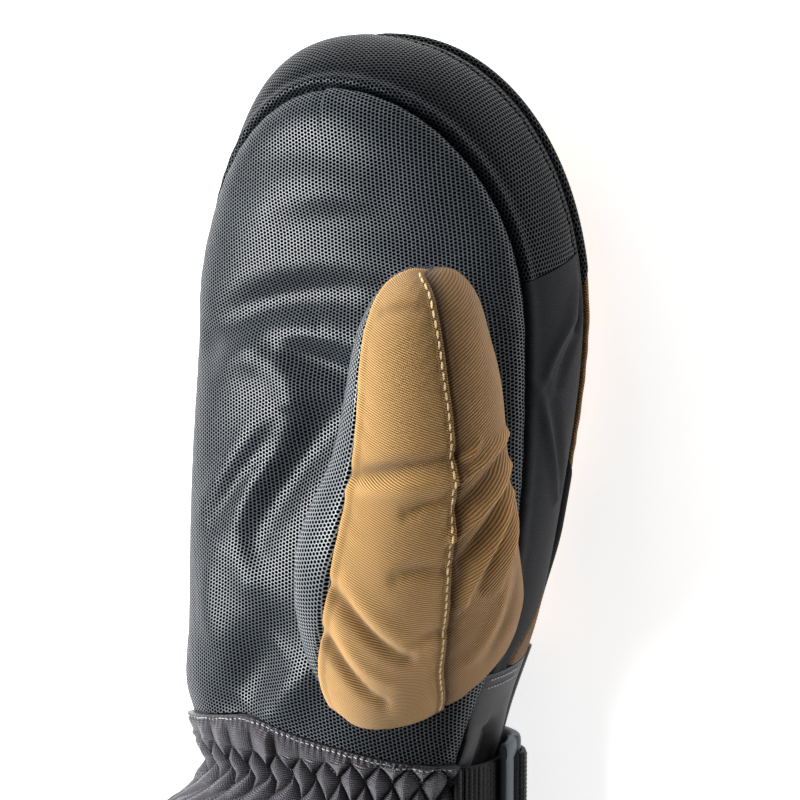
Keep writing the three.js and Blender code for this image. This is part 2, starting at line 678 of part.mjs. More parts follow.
const groundLength = (() => {
  let long = 0;
  for (let i = 0; i < 400; i += 1) {
    const [a, b] = [ground(i / 400), ground((i + 1) / 400)];
    long += Math.hypot(b[0] - a[0], b[1] - a[1]);
  }
  return long;
})();

// A point beside the path, at a distance along it and a height above it
function aboveGround(distance, height, s) {
  const t = distance / groundLength;
  const [x, z] = ground(t);
  const a = ground(t - 0.02);
  const b = ground(t + 0.02);
  const long = Math.hypot(b[0] - a[0], b[1] - a[1]) || 1;
  return [x - ((b[1] - a[1]) / long) * height, s, z + ((b[0] - a[0]) / long) * height];
}

// Webbing along the path, with its underside at a given height
function webbing(distances, height, thick, inSide = 0) {
  const last = distances.length - 1;
  const layer = (up) => (u, v) => {
    const distance = distances[Math.round(u * last)];
    const s = lerp(STRAP.top - inSide, STRAP.top - STRAP.width + inSide, v);
    return aboveGround(distance, height(distance) + up, s);
  };
  const sides = { low: true, high: true, start: true, end: true };
  return gridSolid(last, 1, layer(thick), layer(0), sides);
}

// A rounded bar between two places beside the path, each given as distance, height and s
function roundedBar(from, to, count, halfWide, halfHigh) {
  const alongPath = from[0] !== to[0];
  const at = (v) => [0, 1, 2].map((k) => lerp(from[k], to[k], v));
  const axis = (u, v) => aboveGround(...at(v));
  const skin = (u, v) => {
    const angle = 2 * Math.PI * (u === 1 ? 0 : u) + Math.PI / 8;
    const end = Math.sqrt(1 - 0.6 * Math.abs(2 * v - 1) ** (count * 2));
    const wide = halfWide * end * power(Math.cos(angle), 0.7);
    const high = halfHigh * end * power(Math.sin(angle), 0.7);
    const [distance, height, s] = at(v);
    return aboveGround(distance + (alongPath ? 0 : wide), height + high, s + (alongPath ? wide : 0));
  };
  return gridSolid(8, count, skin, axis, { low: true, high: true });
}

// The buckle: two rails joined by three bars, following the wrist's curve
function buckleSolid(centre, low) {
  const level = STRAP.top - STRAP.width / 2;
  const high = low + BUCKLE.thick / 2;
  const railAt = STRAP.width / 2 + BUCKLE.over - BUCKLE.rail / 2;
  const reach = BUCKLE.length / 2;
  const solids = [];
  for (const side of [-1, 1]) {
    const s = level + side * railAt;
    const [from, to] = [[centre - reach, high, s], [centre + reach, high, s]];
    solids.push(roundedBar(from, to, 7, BUCKLE.rail / 2, BUCKLE.thick / 2));
  }
  for (const place of [-1, 0, 1]) {
    const distance = centre + place * (reach - BUCKLE.bar / 2 - 0.5);
    const [from, to] = [[distance, high, level - railAt], [distance, high, level + railAt]];
    solids.push(roundedBar(from, to, 2, BUCKLE.bar / 2, BUCKLE.thick / 2 - 0.15));
  }
  return fromManifold(solids.map(toManifold).reduce((whole, piece) => whole.add(piece)));
}

// Assembly
const shapes = {};
shapes.palm_panel = plate('palm', 18, 20, 8);
shapes.back_panel = plate('back', 8, 18, 5);
shapes.fingertip_band = sideStrip(BAND_START, BAND_END, 22, 5, 0, 0);
shapes.index_side_panel = sideStrip(0, BAND_START, 15, 3, SIDE_FOOT.palm, SIDE_FOOT.back);
shapes.pinky_side_panel = sideStrip(BAND_END, 3, 15, 3, SIDE_FOOT.palm, SIDE_FOOT.back);
for (const [name, panel] of Object.entries(THUMB_PANELS)) shapes[name] = thumbPanel(panel);
shapes.wrist_gather = patch(gatherSkin, CUFF_WALL, PUFF_PITCHES * 4, GATHER_ROWS.length);
shapes.wrist_back_panel = patch(wristBackSkin, CUFF_WALL, 20, 5);
shapes.gauntlet_cuff = tube(cuffSkin, CUFF_WALL, FLUTE_COUNT * 4, 6);
shapes.cuff_hem = tube(hemSkin, HEM_WALL, FLUTE_COUNT * 4, 2);

const hollow = handHollow();
for (const name of Object.keys(THUMB_PANELS)) {
  shapes[name] = fromManifold(toManifold(shapes[name]).subtract(hollow));
}
const thumbHole = toManifold(thumbSolid(-SEAM_GAP));
for (const name of ['palm_panel', 'index_side_panel', 'wrist_back_panel']) {
  shapes[name] = fromManifold(toManifold(shapes[name]).subtract(thumbHole));
}

// The strap goes under the buckle's first bar, over its middle bar and under its last
const buckleAt = ((BUCKLE.at - STRAP.from) / (STRAP.to - STRAP.from)) * groundLength;
const buckleLow = STRAP.lift + STRAP.thick + 0.4;
const slotWidth = (BUCKLE.length - BUCKLE.bar * 3) / 2;
function strapHeight(distance) {
  const off = Math.abs(distance - buckleAt) - BUCKLE.bar / 2 - 1;
  const over = 1 - smooth(off / (slotWidth - 1.8));
  return lerp(STRAP.lift, buckleLow + BUCKLE.thick + 0.3, over);
}
const strapSteps = [];
for (let d = 0; d < groundLength; d += Math.abs(d - buckleAt) < 17 ? 0.9 : 4.5) strapSteps.push(d);
strapSteps.push(groundLength);
shapes.wrist_strap = webbing(strapSteps, strapHeight, STRAP.thick);
shapes.strap_buckle = buckleSolid(buckleAt, buckleLow);
const tailFrom = buckleAt + BUCKLE.length / 2 + 1.1;
const tailSteps = [];
for (let i = 0; i <= 10; i += 1) tailSteps.push(tailFrom + (i / 10) * TAIL_LENGTH);
const tailHeight = () => STRAP.lift + STRAP.thick + 0.4;
shapes.strap_tail = webbing(tailSteps, tailHeight, STRAP.thick * 2, 0.6);

const group = new THREE.Group();
group.name = 'gauntlet_mitten';
for (const [name, [colour, roughness]] of Object.entries(COLOURS)) {
  const { points, faces } = shapes[name];
  const geometry = new THREE.BufferGeometry();
  geometry.setAttribute('position', new THREE.Float32BufferAttribute(points.flat(), 3));
  geometry.setIndex(faces.flat());
  geometry.computeVertexNormals();
  const mesh = new THREE.Mesh(geometry, new THREE.MeshStandardMaterial({ color: colour, roughness, metalness: 0 }));
  mesh.name = name;
  group.add(mesh);
}
group.updateMatrixWorld(true);
const box = new THREE.Box3().setFromObject(group);
for (const mesh of group.children) {
  mesh.geometry.translate(-(box.min.x + box.max.x) / 2, -(box.min.y + box.max.y) / 2, -box.min.z);
}

export default group;
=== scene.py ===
# %% [markdown]
# # A padded gauntlet mitten
#
# This lesson dresses a right-hand snow mitten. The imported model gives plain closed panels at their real
# size; here each panel becomes a fine sewn shell with its folds, seams, stitches and cloth. Lengths in
# the tables are millimetres on the mitten, drawn straight: x across, s along, z up. They are bent towards
# the palm at the finger end and moved into the frame, in metres, at the very end.

# %% Load the fixed frame
import math
import bmesh
import bpy
import numpy as np
from mathutils import Matrix, Vector


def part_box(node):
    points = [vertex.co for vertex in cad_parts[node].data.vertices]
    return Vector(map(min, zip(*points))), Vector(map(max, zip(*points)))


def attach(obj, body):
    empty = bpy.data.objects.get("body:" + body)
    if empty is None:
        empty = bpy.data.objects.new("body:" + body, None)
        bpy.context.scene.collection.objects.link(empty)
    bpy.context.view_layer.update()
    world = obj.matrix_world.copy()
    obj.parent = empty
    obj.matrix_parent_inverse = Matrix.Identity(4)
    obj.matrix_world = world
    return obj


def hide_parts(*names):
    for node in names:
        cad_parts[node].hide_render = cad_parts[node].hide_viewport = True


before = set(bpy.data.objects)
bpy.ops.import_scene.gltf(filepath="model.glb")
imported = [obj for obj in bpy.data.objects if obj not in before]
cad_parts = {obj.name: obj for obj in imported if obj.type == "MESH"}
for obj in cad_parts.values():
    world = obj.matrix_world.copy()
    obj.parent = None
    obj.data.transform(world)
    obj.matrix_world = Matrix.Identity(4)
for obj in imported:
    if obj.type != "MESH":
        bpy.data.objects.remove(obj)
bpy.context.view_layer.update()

# %% [markdown]
# ## The camera and the room
#
# The photograph looks at the thumb side of the palm from above, with the fingers up in the picture. A
# long lens keeps the shapes as flat as they are there. The view could be found by dragging a camera
# about, but a turn, a tilt and one point with its pixel are easier to correct. The camera comes first,
# because every shape is judged through it.

# %% Camera
MM = 0.001
VIEW_TURN = 32
VIEW_TILT = 8
VIEW_DISTANCE = 0.9
VIEW_TARGET = Vector((0.012, 0.054, 0.040))
PIXELS_PER_RADIAN = 3060
FRAME_PIXELS = 800
TARGET_PIXEL = (374, 396)
SENSOR = 36

turn, tilt = math.radians(VIEW_TURN), math.radians(VIEW_TILT)
back = Vector((math.sin(turn) * math.cos(tilt), math.sin(tilt), math.cos(turn) * math.cos(tilt)))
up = (Vector((0, 1, 0)) - back * back.y).normalized()
right = up.cross(back)
camera_data = bpy.data.cameras.new("camera")
camera_data.sensor_width = SENSOR
camera_data.lens = PIXELS_PER_RADIAN * SENSOR / FRAME_PIXELS
camera_data.shift_x = 0.5 - TARGET_PIXEL[0] / FRAME_PIXELS
camera_data.shift_y = TARGET_PIXEL[1] / FRAME_PIXELS - 0.5
camera_data.clip_start = 0.05
camera = bpy.data.objects.new("camera", camera_data)
camera.matrix_world = Matrix((
    (right.x, up.x, back.x, VIEW_TARGET.x + back.x * VIEW_DISTANCE),
    (right.y, up.y, back.y, VIEW_TARGET.y + back.y * VIEW_DISTANCE),
    (right.z, up.z, back.z, VIEW_TARGET.z + back.z * VIEW_DISTANCE),
    (0, 0, 0, 1),
))
bpy.context.scene.collection.objects.link(camera)
bpy.context.scene.camera = camera
print("the lens is", round(camera_data.lens), "mm long")

# %% [markdown]
# The room is a pale floor, one large soft lamp from the picture's left, a weak one from beyond the
# fingertips and a bright sky that is darker on the right. Small lamps would leave hard spots; large ones
# make the long soft highlights that coated cloth shows. The floor gives off some light, so it stays pale
# round the shadow.

# %% Floor
FLOOR_SIDE = 6.0
FLOOR_DROP = 0.0004
FLOOR_GLOW = 0.8
half = FLOOR_SIDE / 2
corners = [(-half, -half, 0), (half, -half, 0), (half, half, 0), (-half, half, 0)]
floor_mesh = bpy.data.meshes.new("floor")
floor_mesh.from_pydata(corners, [], [(0, 1, 2, 3)])
floor = bpy.data.objects.new("floor", floor_mesh)
floor.location.z = -FLOOR_DROP
bpy.context.scene.collection.objects.link(floor)
floor_finish = bpy.data.materials.new("pale floor")
floor_finish.use_nodes = True
floor_shader = floor_finish.node_tree.nodes["Principled BSDF"]
floor_shader.inputs["Base Color"].default_value = (0.93, 0.93, 0.935, 1)
floor_shader.inputs["Roughness"].default_value = 0.9
floor_shader.inputs["Specular IOR Level"].default_value = 0.1
floor_shader.inputs["Emission Color"].default_value = (1, 1, 1, 1)
floor_shader.inputs["Emission Strength"].default_value = FLOOR_GLOW
floor_mesh.materials.append(floor_finish)
print("the floor is", FLOOR_SIDE, "m wide")

# %% Lamps
LIGHTS = [
    {"name": "key", "at": (-0.78, -0.02, 0.88), "side": 0.7, "watts": 28},
    {"name": "top", "at": (-0.25, 0.95, 0.75), "side": 0.5, "watts": 2},
]
for lamp in LIGHTS:
    data = bpy.data.lights.new(lamp["name"], "AREA")
    data.shape = "SQUARE"
    data.size = lamp["side"]
    data.energy = lamp["watts"]
    light = bpy.data.objects.new(lamp["name"], data)
    light.location = lamp["at"]
    light.rotation_mode = "QUATERNION"
    light.rotation_quaternion = (Vector(lamp["at"]) - VIEW_TARGET).to_track_quat("Z", "Y")
    bpy.context.scene.collection.objects.link(light)
print("the lamps are", [lamp["name"] for lamp in LIGHTS])

# %% Sky
SKY = {"left": 0.36, "right": 0.07, "fade_from": -0.5, "fade_to": 0.7}
world = bpy.data.worlds.new("room")
bpy.context.scene.world = world
world.use_nodes = True
background = world.node_tree.nodes["Background"]
background.inputs["Color"].default_value = (1, 1, 1, 1)
direction = world.node_tree.nodes.new("ShaderNodeTexCoord")
sky_split = world.node_tree.nodes.new("ShaderNodeSeparateXYZ")
sky_fade = world.node_tree.nodes.new("ShaderNodeMapRange")
sky_fade.inputs["From Min"].default_value = SKY["fade_from"]
sky_fade.inputs["From Max"].default_value = SKY["fade_to"]
sky_fade.inputs["To Min"].default_value = SKY["left"]
sky_fade.inputs["To Max"].default_value = SKY["right"]
world.node_tree.links.new(direction.outputs["Generated"], sky_split.inputs[0])
world.node_tree.links.new(sky_split.outputs["X"], sky_fade.inputs["Value"])
world.node_tree.links.new(sky_fade.outputs["Result"], background.inputs["Strength"])
bpy.context.scene.view_settings.view_transform = "Standard"
print("the sky fades from", SKY["left"], "to", SKY["right"])

# %% [markdown]
# ## The pattern the mitten is cut to
#
# The real mitten is cut from flat panels and sewn round padding. The tables hold its seam lines and how
# far palm and back swell between them, and smooth curves run through each column. The same tables shape
# the plain panels, so the fine pieces fill the same space. Modelling each panel by hand would lose that.

# %% Seam lines and swelling
SEAM_GAP = 0.3
OVERHANG = 1.6
OVERHANG_AT = 0.26
BODY = {
    "s": [-109, -83, -59, -41, -29, -19, -11, 0, 12, 40, 80, 120, 160],
    "index_palm": [72, 66, 55, 38, 27, 25, 26, 29.5, 34, 46, 53, 54.5, 54.5],
    "index_back": [74, 68, 56, 39, 28, 26, 27, 30, 33, 41, 48.5, 54.5, 56.5],
    "pinky_palm": [-99, -94, -88, -79, -69, -58, -55, -59, -61.5, -60.5, -58.5, -55.5, -53.5],
    "pinky_back": [-94, -89, -82, -73, -63, -55, -53, -55, -56, -57, -57, -56, -55],
    "palm_z": [54, 52, 49, 46, 43, 41, 41, 42, 43, 45, 46, 46, 44],
    "back_z": [30, 28, 26, 24, 22, 20, 20, 19, 18, 14, 12, 12, 12],
    "palm_crown": [36, 33, 29, 24, 20, 17, 17, 19, 20, 22, 22, 21, 20],
    "back_crown": [30, 28, 24, 18, 12, 9, 9, 11, 13, 14, 14, 14, 14],
}
CROWN_SIDE_POWER = 2.6
CROWN_TOP_POWER = 1.9
ARCH_START = 128
ARCH_TIP = {"palm": 203, "back": 203.5}
ARCH_POWER = {
    "palm": {"index": 2.1, "pinky": 1.82},
    "back": {"index": 2.3, "pinky": 1.8},
}
WRIST_EDGE = {"x": [-62, -46, -30, -14, 4, 19, 34], "s": [3, 6, 8.5, 5, 2, -0.5, -2]}
SIDE_FOOT = {"palm": 26, "back": 29}
print("the hand is", BODY["index_palm"][8] - BODY["pinky_palm"][8], "mm wide above the wrist")

# %% Small helpers
def lerp(a, b, t):
    return a + (b - a) * t


def smooth(v):
    v = np.clip(v, 0, 1)
    return v * v * (3 - 2 * v)


def power(v, p):
    return np.sign(v) * np.abs(v) ** p


def bump_at(distance, width):
    return np.exp(-((distance / width) ** 2))


def column(table, key, name, at):
    """A smooth curve through one column of a table."""
    xs, ys = np.array(table[key], float), np.array(table[name], float)
    last = len(xs) - 1
    at = np.clip(at, xs[0], xs[last])
    i = np.clip(np.searchsorted(xs[1:], at, side="left"), 0, last - 1)
    before, after = np.maximum(np.arange(last + 1) - 1, 0), np.minimum(np.arange(last + 1) + 1, last)
    slope = (ys[after] - ys[before]) / (xs[after] - xs[before])
    h = xs[i + 1] - xs[i]
    t = (at - xs[i]) / h
    rise = (t**3 - 2 * t**2 + t) * h * slope[i] + (t**3 - t**2) * h * slope[i + 1]
    return (2 * t**3 - 3 * t**2 + 1) * ys[i] + (3 * t**2 - 2 * t**3) * ys[i + 1] + rise


def body(name, s):
    return column(BODY, "s", name, s)


# %% [markdown]
# Folds are drawn as bent lines with a width and a height. They could be brushed on by hand, but a short
# table is easier to steer against the photograph, and the same line can be a sharp ridge, a soft valley
# or a dent.

# %% Folds
FOLD_END_SHARE = 0.35
FOLD_END_TRIM = 0.08
FOLD_END_POWER = 0.7


def line_distance(start, mid, end, u, v, steps=40):
    """How far each point lies from a bent line, how far along it that is, and on which side."""
    t = np.linspace(0, 1, steps + 1)
    x = (1 - t) ** 2 * start[0] + 2 * t * (1 - t) * mid[0] + t**2 * end[0]
    y = (1 - t) ** 2 * start[1] + 2 * t * (1 - t) * mid[1] + t**2 * end[1]
    nearest = np.full(np.shape(u), 1e9)
    along = np.zeros(np.shape(u))
    side = np.zeros(np.shape(u))
    for i in range(steps):
        dx, dy = x[i + 1] - x[i], y[i + 1] - y[i]
        part = np.clip(((u - x[i]) * dx + (v - y[i]) * dy) / (dx * dx + dy * dy), 0, 1)
        away = np.hypot(u - x[i] - part * dx, v - y[i] - part * dy)
        closer = away < nearest
        nearest = np.where(closer, away, nearest)
        along = np.where(closer, (i + part) / steps, along)
        side = np.where(closer, np.sign((u - x[i]) * dy - (v - y[i]) * dx), side)
    return nearest, along, side


def fold_height(folds, u, v):
    """The height that a table of folds adds. lean makes one flank of a fold steeper than the other."""
    height = np.zeros(np.shape(u))
    for fold in folds:
        nearest, along, side = line_distance(fold["from"], fold["mid"], fold["to"], u, v)
        width = fold["width"] * (1 - fold.get("lean", 0) * side)
        along = np.clip(along, FOLD_END_TRIM, 1 - FOLD_END_TRIM)
        ends = lerp(FOLD_END_SHARE, 1, np.sin(math.pi * along) ** FOLD_END_POWER)
        height += fold["height"] * ends * bump_at(nearest, width)
    return height


# %% Folds of the palm and the back
PALM_FOLDS = [
    {"from": (-44, 123), "mid": (-20, 144), "to": (18, 142), "width": 7.5, "height": -3.4},
    {"from": (-38, 115), "mid": (-18, 131), "to": (12, 127), "width": 6.5, "height": 1.3},
    {"from": (-17, 123), "mid": (-2, 120), "to": (17, 113), "width": 6.4, "height": -3.0},
    {"from": (-34, 117), "mid": (-8, 124), "to": (-12, 97), "width": 6.0, "height": 1.4},
    {"from": (-11, 103), "mid": (-13, 92), "to": (-25, 79), "width": 5.0, "height": 1.9},
    {"from": (-22, 83), "mid": (-36, 66), "to": (-27, 51), "width": 5.2, "height": 1.7},
    {"from": (-13, 100), "mid": (-23, 88), "to": (-42, 66), "width": 4.0, "height": -1.5},
    {"from": (-20, 101), "mid": (-34, 86), "to": (-47, 70), "width": 4.0, "height": 1.0},
    {"from": (9, 106), "mid": (-10, 93), "to": (-26, 63), "width": 8.0, "height": -4.8},
    {"from": (-19, 35), "mid": (-28, 24), "to": (-36, 11), "width": 8.5, "height": -3.4},
    {"from": (-3, 28), "mid": (-12, 20), "to": (-21, 10), "width": 5.5, "height": 2.4},
    {"from": (-41, 57), "mid": (-50, 40), "to": (-38, 26), "width": 6.0, "height": 1.2},
    {"from": (-28, 178), "mid": (-8, 197), "to": (20, 180), "width": 8.0, "height": -1.4},
    {"from": (-22, 171), "mid": (6, 184), "to": (28, 171), "width": 7.0, "height": 0.6},
    {"from": (-12, 162), "mid": (12, 171), "to": (36, 159), "width": 7.0, "height": -1.3},
    {"from": (37, 147), "mid": (46, 144), "to": (53, 135), "width": 3.6, "height": 1.8},
]
BACK_FOLDS = [
    {"from": (-40, 128), "mid": (0, 134), "to": (42, 127), "width": 7, "height": -1.8},
    {"from": (-42, 44), "mid": (-8, 38), "to": (30, 44), "width": 6, "height": -1.6},
    {"from": (-50, 92), "mid": (-12, 84), "to": (34, 93), "width": 7, "height": -1.5},
    {"from": (22, 152), "mid": (2, 160), "to": (-28, 151), "width": 6, "height": -1.2},
]
print("the palm has", len(PALM_FOLDS), "folds and the back", len(BACK_FOLDS))

# %% [markdown]
# ## From the flat pattern to points in space
#
# Each panel is one function of two numbers, such as how far along the seam and how far in from it. The
# functions take whole grids at once, so a fine panel costs no more to write than a coarse one. The finger
# end curls towards the palm, as a relaxed padded mitten does.

# %% Curl
CURL_START = 104
CURL_RADIUS = 250
CURL_EASE = 10
CURL_MID_Z = 30


def bend(points):
    """The finger end eases into a curl towards the palm, and cloth lies flat on the surface under it."""
    x, s, z = points[..., 0], points[..., 1], points[..., 2]
    eased = np.clip(s - CURL_START + CURL_EASE, 0, 2 * CURL_EASE)
    past = s > CURL_START + CURL_EASE
    angle = np.where(past, s - CURL_START, eased**2 / (4 * CURL_EASE)) / CURL_RADIUS
    easing_lift = eased**3 / (12 * CURL_EASE * CURL_RADIUS)
    arc_lift = CURL_RADIUS * (1 - np.cos(angle)) + CURL_EASE**2 / (6 * CURL_RADIUS)
    middle_y = np.where(past, CURL_START + CURL_RADIUS * np.sin(angle), s)
    off = z - CURL_MID_Z
    high = CURL_MID_Z + np.where(past, arc_lift, easing_lift) + off * np.cos(angle)
    return np.stack([x, middle_y - off * np.sin(angle), np.maximum(0, high)], -1)


# %% Seam line and swelling
def width_at(face, s, inset):
    return body("index_" + face, s) - inset, body("pinky_" + face, s) + inset


def seam_point(face, a, inset, foot):
    """The seam: a runs 0 to 1 up the index side, 1 to 2 round the tip and 2 to 3 down the other side."""
    level = np.where(a < 1, a, np.where(a > 2, 3 - a, 1.0))
    straight_s = lerp(foot, ARCH_START, level)
    index, pinky = width_at(face, straight_s, inset)
    straight_x = np.where(a < 1.5, index, pinky)
    angle = math.pi * (np.clip(a, 1, 2) - 1)
    index, pinky = width_at(face, np.full(np.shape(a), float(ARCH_START)), inset)
    middle, half = (index + pinky) / 2, (index - pinky) / 2
    p = 2 / np.where(np.cos(angle) > 0, ARCH_POWER[face]["index"], ARCH_POWER[face]["pinky"])
    reach = ARCH_TIP[face] - inset - ARCH_START
    arch_x = middle + half * power(np.cos(angle), p)
    arch_s = ARCH_START + reach * np.maximum(0, np.sin(angle)) ** p
    on_arch = (a >= 1) & (a <= 2)
    return np.where(on_arch, arch_x, straight_x), np.where(on_arch, arch_s, straight_s), level


def profile(rise):
    """How a padded plate swells from its seam (rise 0) to its middle line (rise 1)."""
    angle = rise * math.pi / 2
    near = angle / OVERHANG_AT
    share = np.maximum(0, np.cos(angle)) ** (2 / CROWN_SIDE_POWER)
    height = np.sin(angle) ** (2 / CROWN_TOP_POWER)
    return share, height, OVERHANG * near * np.exp(1 - near) * np.maximum(0, np.cos(angle))


# %% Palm and back skin
ROLL = {
    "palm": {"low": 0.2, "high": 1.8, "from": 2.75, "fade": 0.2},
    "back": {"low": -0.2, "high": 1.0, "from": 0.12, "fade": 0.25},
}
PLATE_FOLDS = {"palm": PALM_FOLDS, "back": BACK_FOLDS}
PLATE_FOOT = {"palm": 0, "back": SIDE_FOOT["back"]}


def roll_share(face, a):
    """How far a plate rolls over its seam: little on the palm's outer side, drawn in at the back's wrist."""
    roll = ROLL[face]
    share = lerp(roll["low"], roll["high"], smooth((a - roll["from"]) / roll["fade"]))
    return np.where(a > 1.5 if face == "palm" else a < 1.5, share, 1.0)


def plate_skin(face, a, rise, inset):
    """A point on the palm or the back, with its folds."""
    seam_x, seam_s, level = seam_point(face, a, inset, PLATE_FOOT[face])
    share, height, over = profile(rise)
    over = over * roll_share(face, a)
    s0 = np.minimum(seam_s, ARCH_START)
    index, pinky = width_at(face, s0, inset)
    middle = (index + pinky) / 2
    across, along = seam_x - middle, seam_s - s0
    far = np.maximum(np.hypot(across, along), 1e-9)
    x = middle + across * share + across / far * over
    s = s0 + along * share + along / far * over
    if face == "palm":
        straight = (a < 1) | (a > 2)
        s = s + np.where(straight, column(WRIST_EDGE, "x", "s", x) * (1 - level), 0)
    added = fold_height(PLATE_FOLDS[face], x, s)
    if inset > 0:
        added = np.minimum(added, 0) * 0.9
    crown = (body(face + "_crown", s) - inset) * height + added * smooth(height * 1.6)
    sign = 1 if face == "palm" else -1
    return np.stack([x, s, body(face + "_z", s) + sign * (crown + SEAM_GAP / 2)], -1)


# %% Side strip skin
GUSSET_BULGE = 4
TIP_BULGE = 5.5
TIP_PUFF = {"at": 1.64, "wide": 0.12, "high": 3.6}


def outward(a, inset):
    """The way out of the seam line, square to it."""
    step = 1e-3
    x0, s0, _ = seam_point("palm", np.clip(a - step, 1, 2), inset, 0)
    x1, s1, _ = seam_point("palm", np.clip(a + step, 1, 2), inset, 0)
    long = np.maximum(np.hypot(x1 - x0, s1 - s0), 1e-9)
    out_x = np.where(a <= 1, 1.0, np.where(a >= 2, -1.0, (s1 - s0) / long))
    out_s = np.where((a <= 1) | (a >= 2), 0.0, (x0 - x1) / long)
    return out_x, out_s


def gusset_skin(a, w, inset, foot):
    """A point on the strip between the palm seam (w 0) and the back seam (w 1)."""
    top_x, top_s, _ = seam_point("palm", a, inset, foot)
    foot_x, foot_s, _ = seam_point("back", a, inset, foot)
    out_x, out_s = outward(a, inset)
    tip = smooth((top_s - ARCH_START) / (ARCH_TIP["palm"] - ARCH_START))
    fullness = 4 * w * (1 - w)
    bulge = lerp(GUSSET_BULGE, TIP_BULGE, tip) * fullness**0.8
    if inset <= 0:
        bulge = bulge + TIP_PUFF["high"] * bump_at(a - TIP_PUFF["at"], TIP_PUFF["wide"]) * fullness**0.6
    s = lerp(top_s, foot_s, w) + out_s * bulge
    x = lerp(top_x, foot_x, w) + out_x * bulge
    high = body("palm_z", s) - SEAM_GAP / 2
    return np.stack([x, s, lerp(high, body("back_z", s) + SEAM_GAP / 2, w)], -1)


# %% [markdown]
# The wrist and the cuff are tubes. Their cross-section is the same palm, side and back curves, walked
# round by share of the way: 0 is the middle of the palm and the index side comes first. Walking evenly
# along each curve keeps the cloth's weave even too.

# %% Cross-section of the tube
PALM_SHARE = 0.22
SIDE_SHARE = 0.31
SHARES = [0, PALM_SHARE, SIDE_SHARE, 0.5, 1 - SIDE_SHARE, 1 - PALM_SHARE, 1]
SPAN_STEPS = 90
LEVELS = np.arange(-112, 36, 1.0)
share_spans = [np.linspace(a, b, SPAN_STEPS + 1)[:-1] for a, b in zip(SHARES, SHARES[1:])]
SHARE_GRID = np.concatenate(share_spans + [[1.0]])


def even(x, z):
    """A path re-read by its own length."""
    long = np.concatenate([[0], np.cumsum(np.hypot(np.diff(x), np.diff(z)))])
    want = np.linspace(0, long[-1], SPAN_STEPS + 1)
    return np.interp(want, long, x), np.interp(want, long, z)


def outline_at(s, inset):
    t = np.linspace(0, 1, SPAN_STEPS * 2 + 1)

    def plate_path(face, side, rise):
        index, pinky = width_at(face, s, inset)
        middle = (index + pinky) / 2
        share, height, over = profile(rise)
        edge = (index if side == "index" else pinky) - middle
        sign = 1 if face == "palm" else -1
        x = middle + edge * share + np.sign(edge) * over
        return x, body(face + "_z", s) + sign * (body(face + "_crown", s) - inset) * height

    def side_path(side, w):
        out = 1 if side == "index" else -1
        pick = 0 if side == "index" else 1
        bulge = GUSSET_BULGE * (4 * w * (1 - w)) ** 0.8
        x = lerp(width_at("palm", s, inset)[pick], width_at("back", s, inset)[pick], w) + out * bulge
        return x, lerp(body("palm_z", s), body("back_z", s), w)

    spans = [
        even(*plate_path("palm", "index", 1 - t)),
        even(*side_path("index", t)),
        even(*plate_path("back", "index", t)),
        even(*plate_path("back", "pinky", 1 - t)),
        even(*side_path("pinky", 1 - t)),
        even(*plate_path("palm", "pinky", t)),
    ]
    x = np.concatenate([span[0][:-1] for span in spans] + [spans[-1][0][-1:]])
    z = np.concatenate([span[1][:-1] for span in spans] + [spans[-1][1][-1:]])
    return x, z


# %% The tube's skin
OUTLINES = {}


def section_point(p, s, inset):
    """The outline's point at share p and station s, read from a table of outlines."""
    if inset not in OUTLINES:
        rings = [outline_at(level, inset) for level in LEVELS]
        OUTLINES[inset] = np.array([ring[0] for ring in rings]), np.array([ring[1] for ring in rings])
    p = np.mod(p, 1)
    row = np.clip((s - LEVELS[0]) / (LEVELS[1] - LEVELS[0]), 0, len(LEVELS) - 1.001)
    i = row.astype(int)
    j = np.clip(np.searchsorted(SHARE_GRID, p, side="right") - 1, 0, len(SHARE_GRID) - 2)
    part = (p - SHARE_GRID[j]) / (SHARE_GRID[j + 1] - SHARE_GRID[j])
    found = []
    for table in OUTLINES[inset]:
        low = lerp(table[i, j], table[i, j + 1], part)
        high = lerp(table[i + 1, j], table[i + 1, j + 1], part)
        found.append(lerp(low, high, row - i))
    return found


def tube_skin(p, s, inset, push=0.0):
    """The same point pushed out square to the outline."""
    p, s = np.broadcast_arrays(np.asarray(p, float), np.asarray(s, float))
    x, z = section_point(p, s, inset)
    ax, az = section_point(p - 0.004, s, inset)
    bx, bz = section_point(p + 0.004, s, inset)
    long = np.maximum(np.hypot(bx - ax, bz - az), 1e-9)
    return np.stack([x - (bz - az) / long * push, s, z + (bx - ax) / long * push], -1)


# %% [markdown]
# The thumb is a closed sack on its own curved line. Three seams divide it into a front, a side and an
# inner panel. One sack with seams drawn on it keeps the three panels exactly edge to edge.

# %% The thumb's shape
THUMB_LENGTH = 150
THUMB_MM_PER_DEGREE = 0.42
THUMB = {
    "t": [0, 0.12, 0.26, 0.42, 0.6, 0.8, 1],
    "x": [24, 26, 30, 37, 43.5, 46, 47],
    "y": [22.5, 33, 46, 68, 94, 122, 150],
    "z": [40, 51, 63, 76, 84, 87, 86],
    "half_width": [24, 29, 31, 28.5, 23.5, 20.5, 17],
    "half_depth": [16, 20, 22, 22, 20, 18, 15],
    "inner_bulge": [0, 2, 4, 6, 2, 0, 0],
}
THUMB_FACING = 54
THUMB_POWER = 2.2
THUMB_TIP_FROM = 0.8
THUMB_BASE_TO = 0.22
THUMB_END_POWER = {"base": 3.2, "tip": 2.3}
THUMB_BULGE = {"centre": -108, "wide": 30}
THUMB_HEEL = {"centre": -72, "wide": 26, "t": 0.15, "long": 0.07, "high": 3}
THUMB_FLAT = {"centre": 62, "wide": 40, "t": 0.87, "long": 0.08, "deep": 2.0}
THUMB_TIP_DROP = {"centre": -50, "wide": 62, "deep": 2.4}
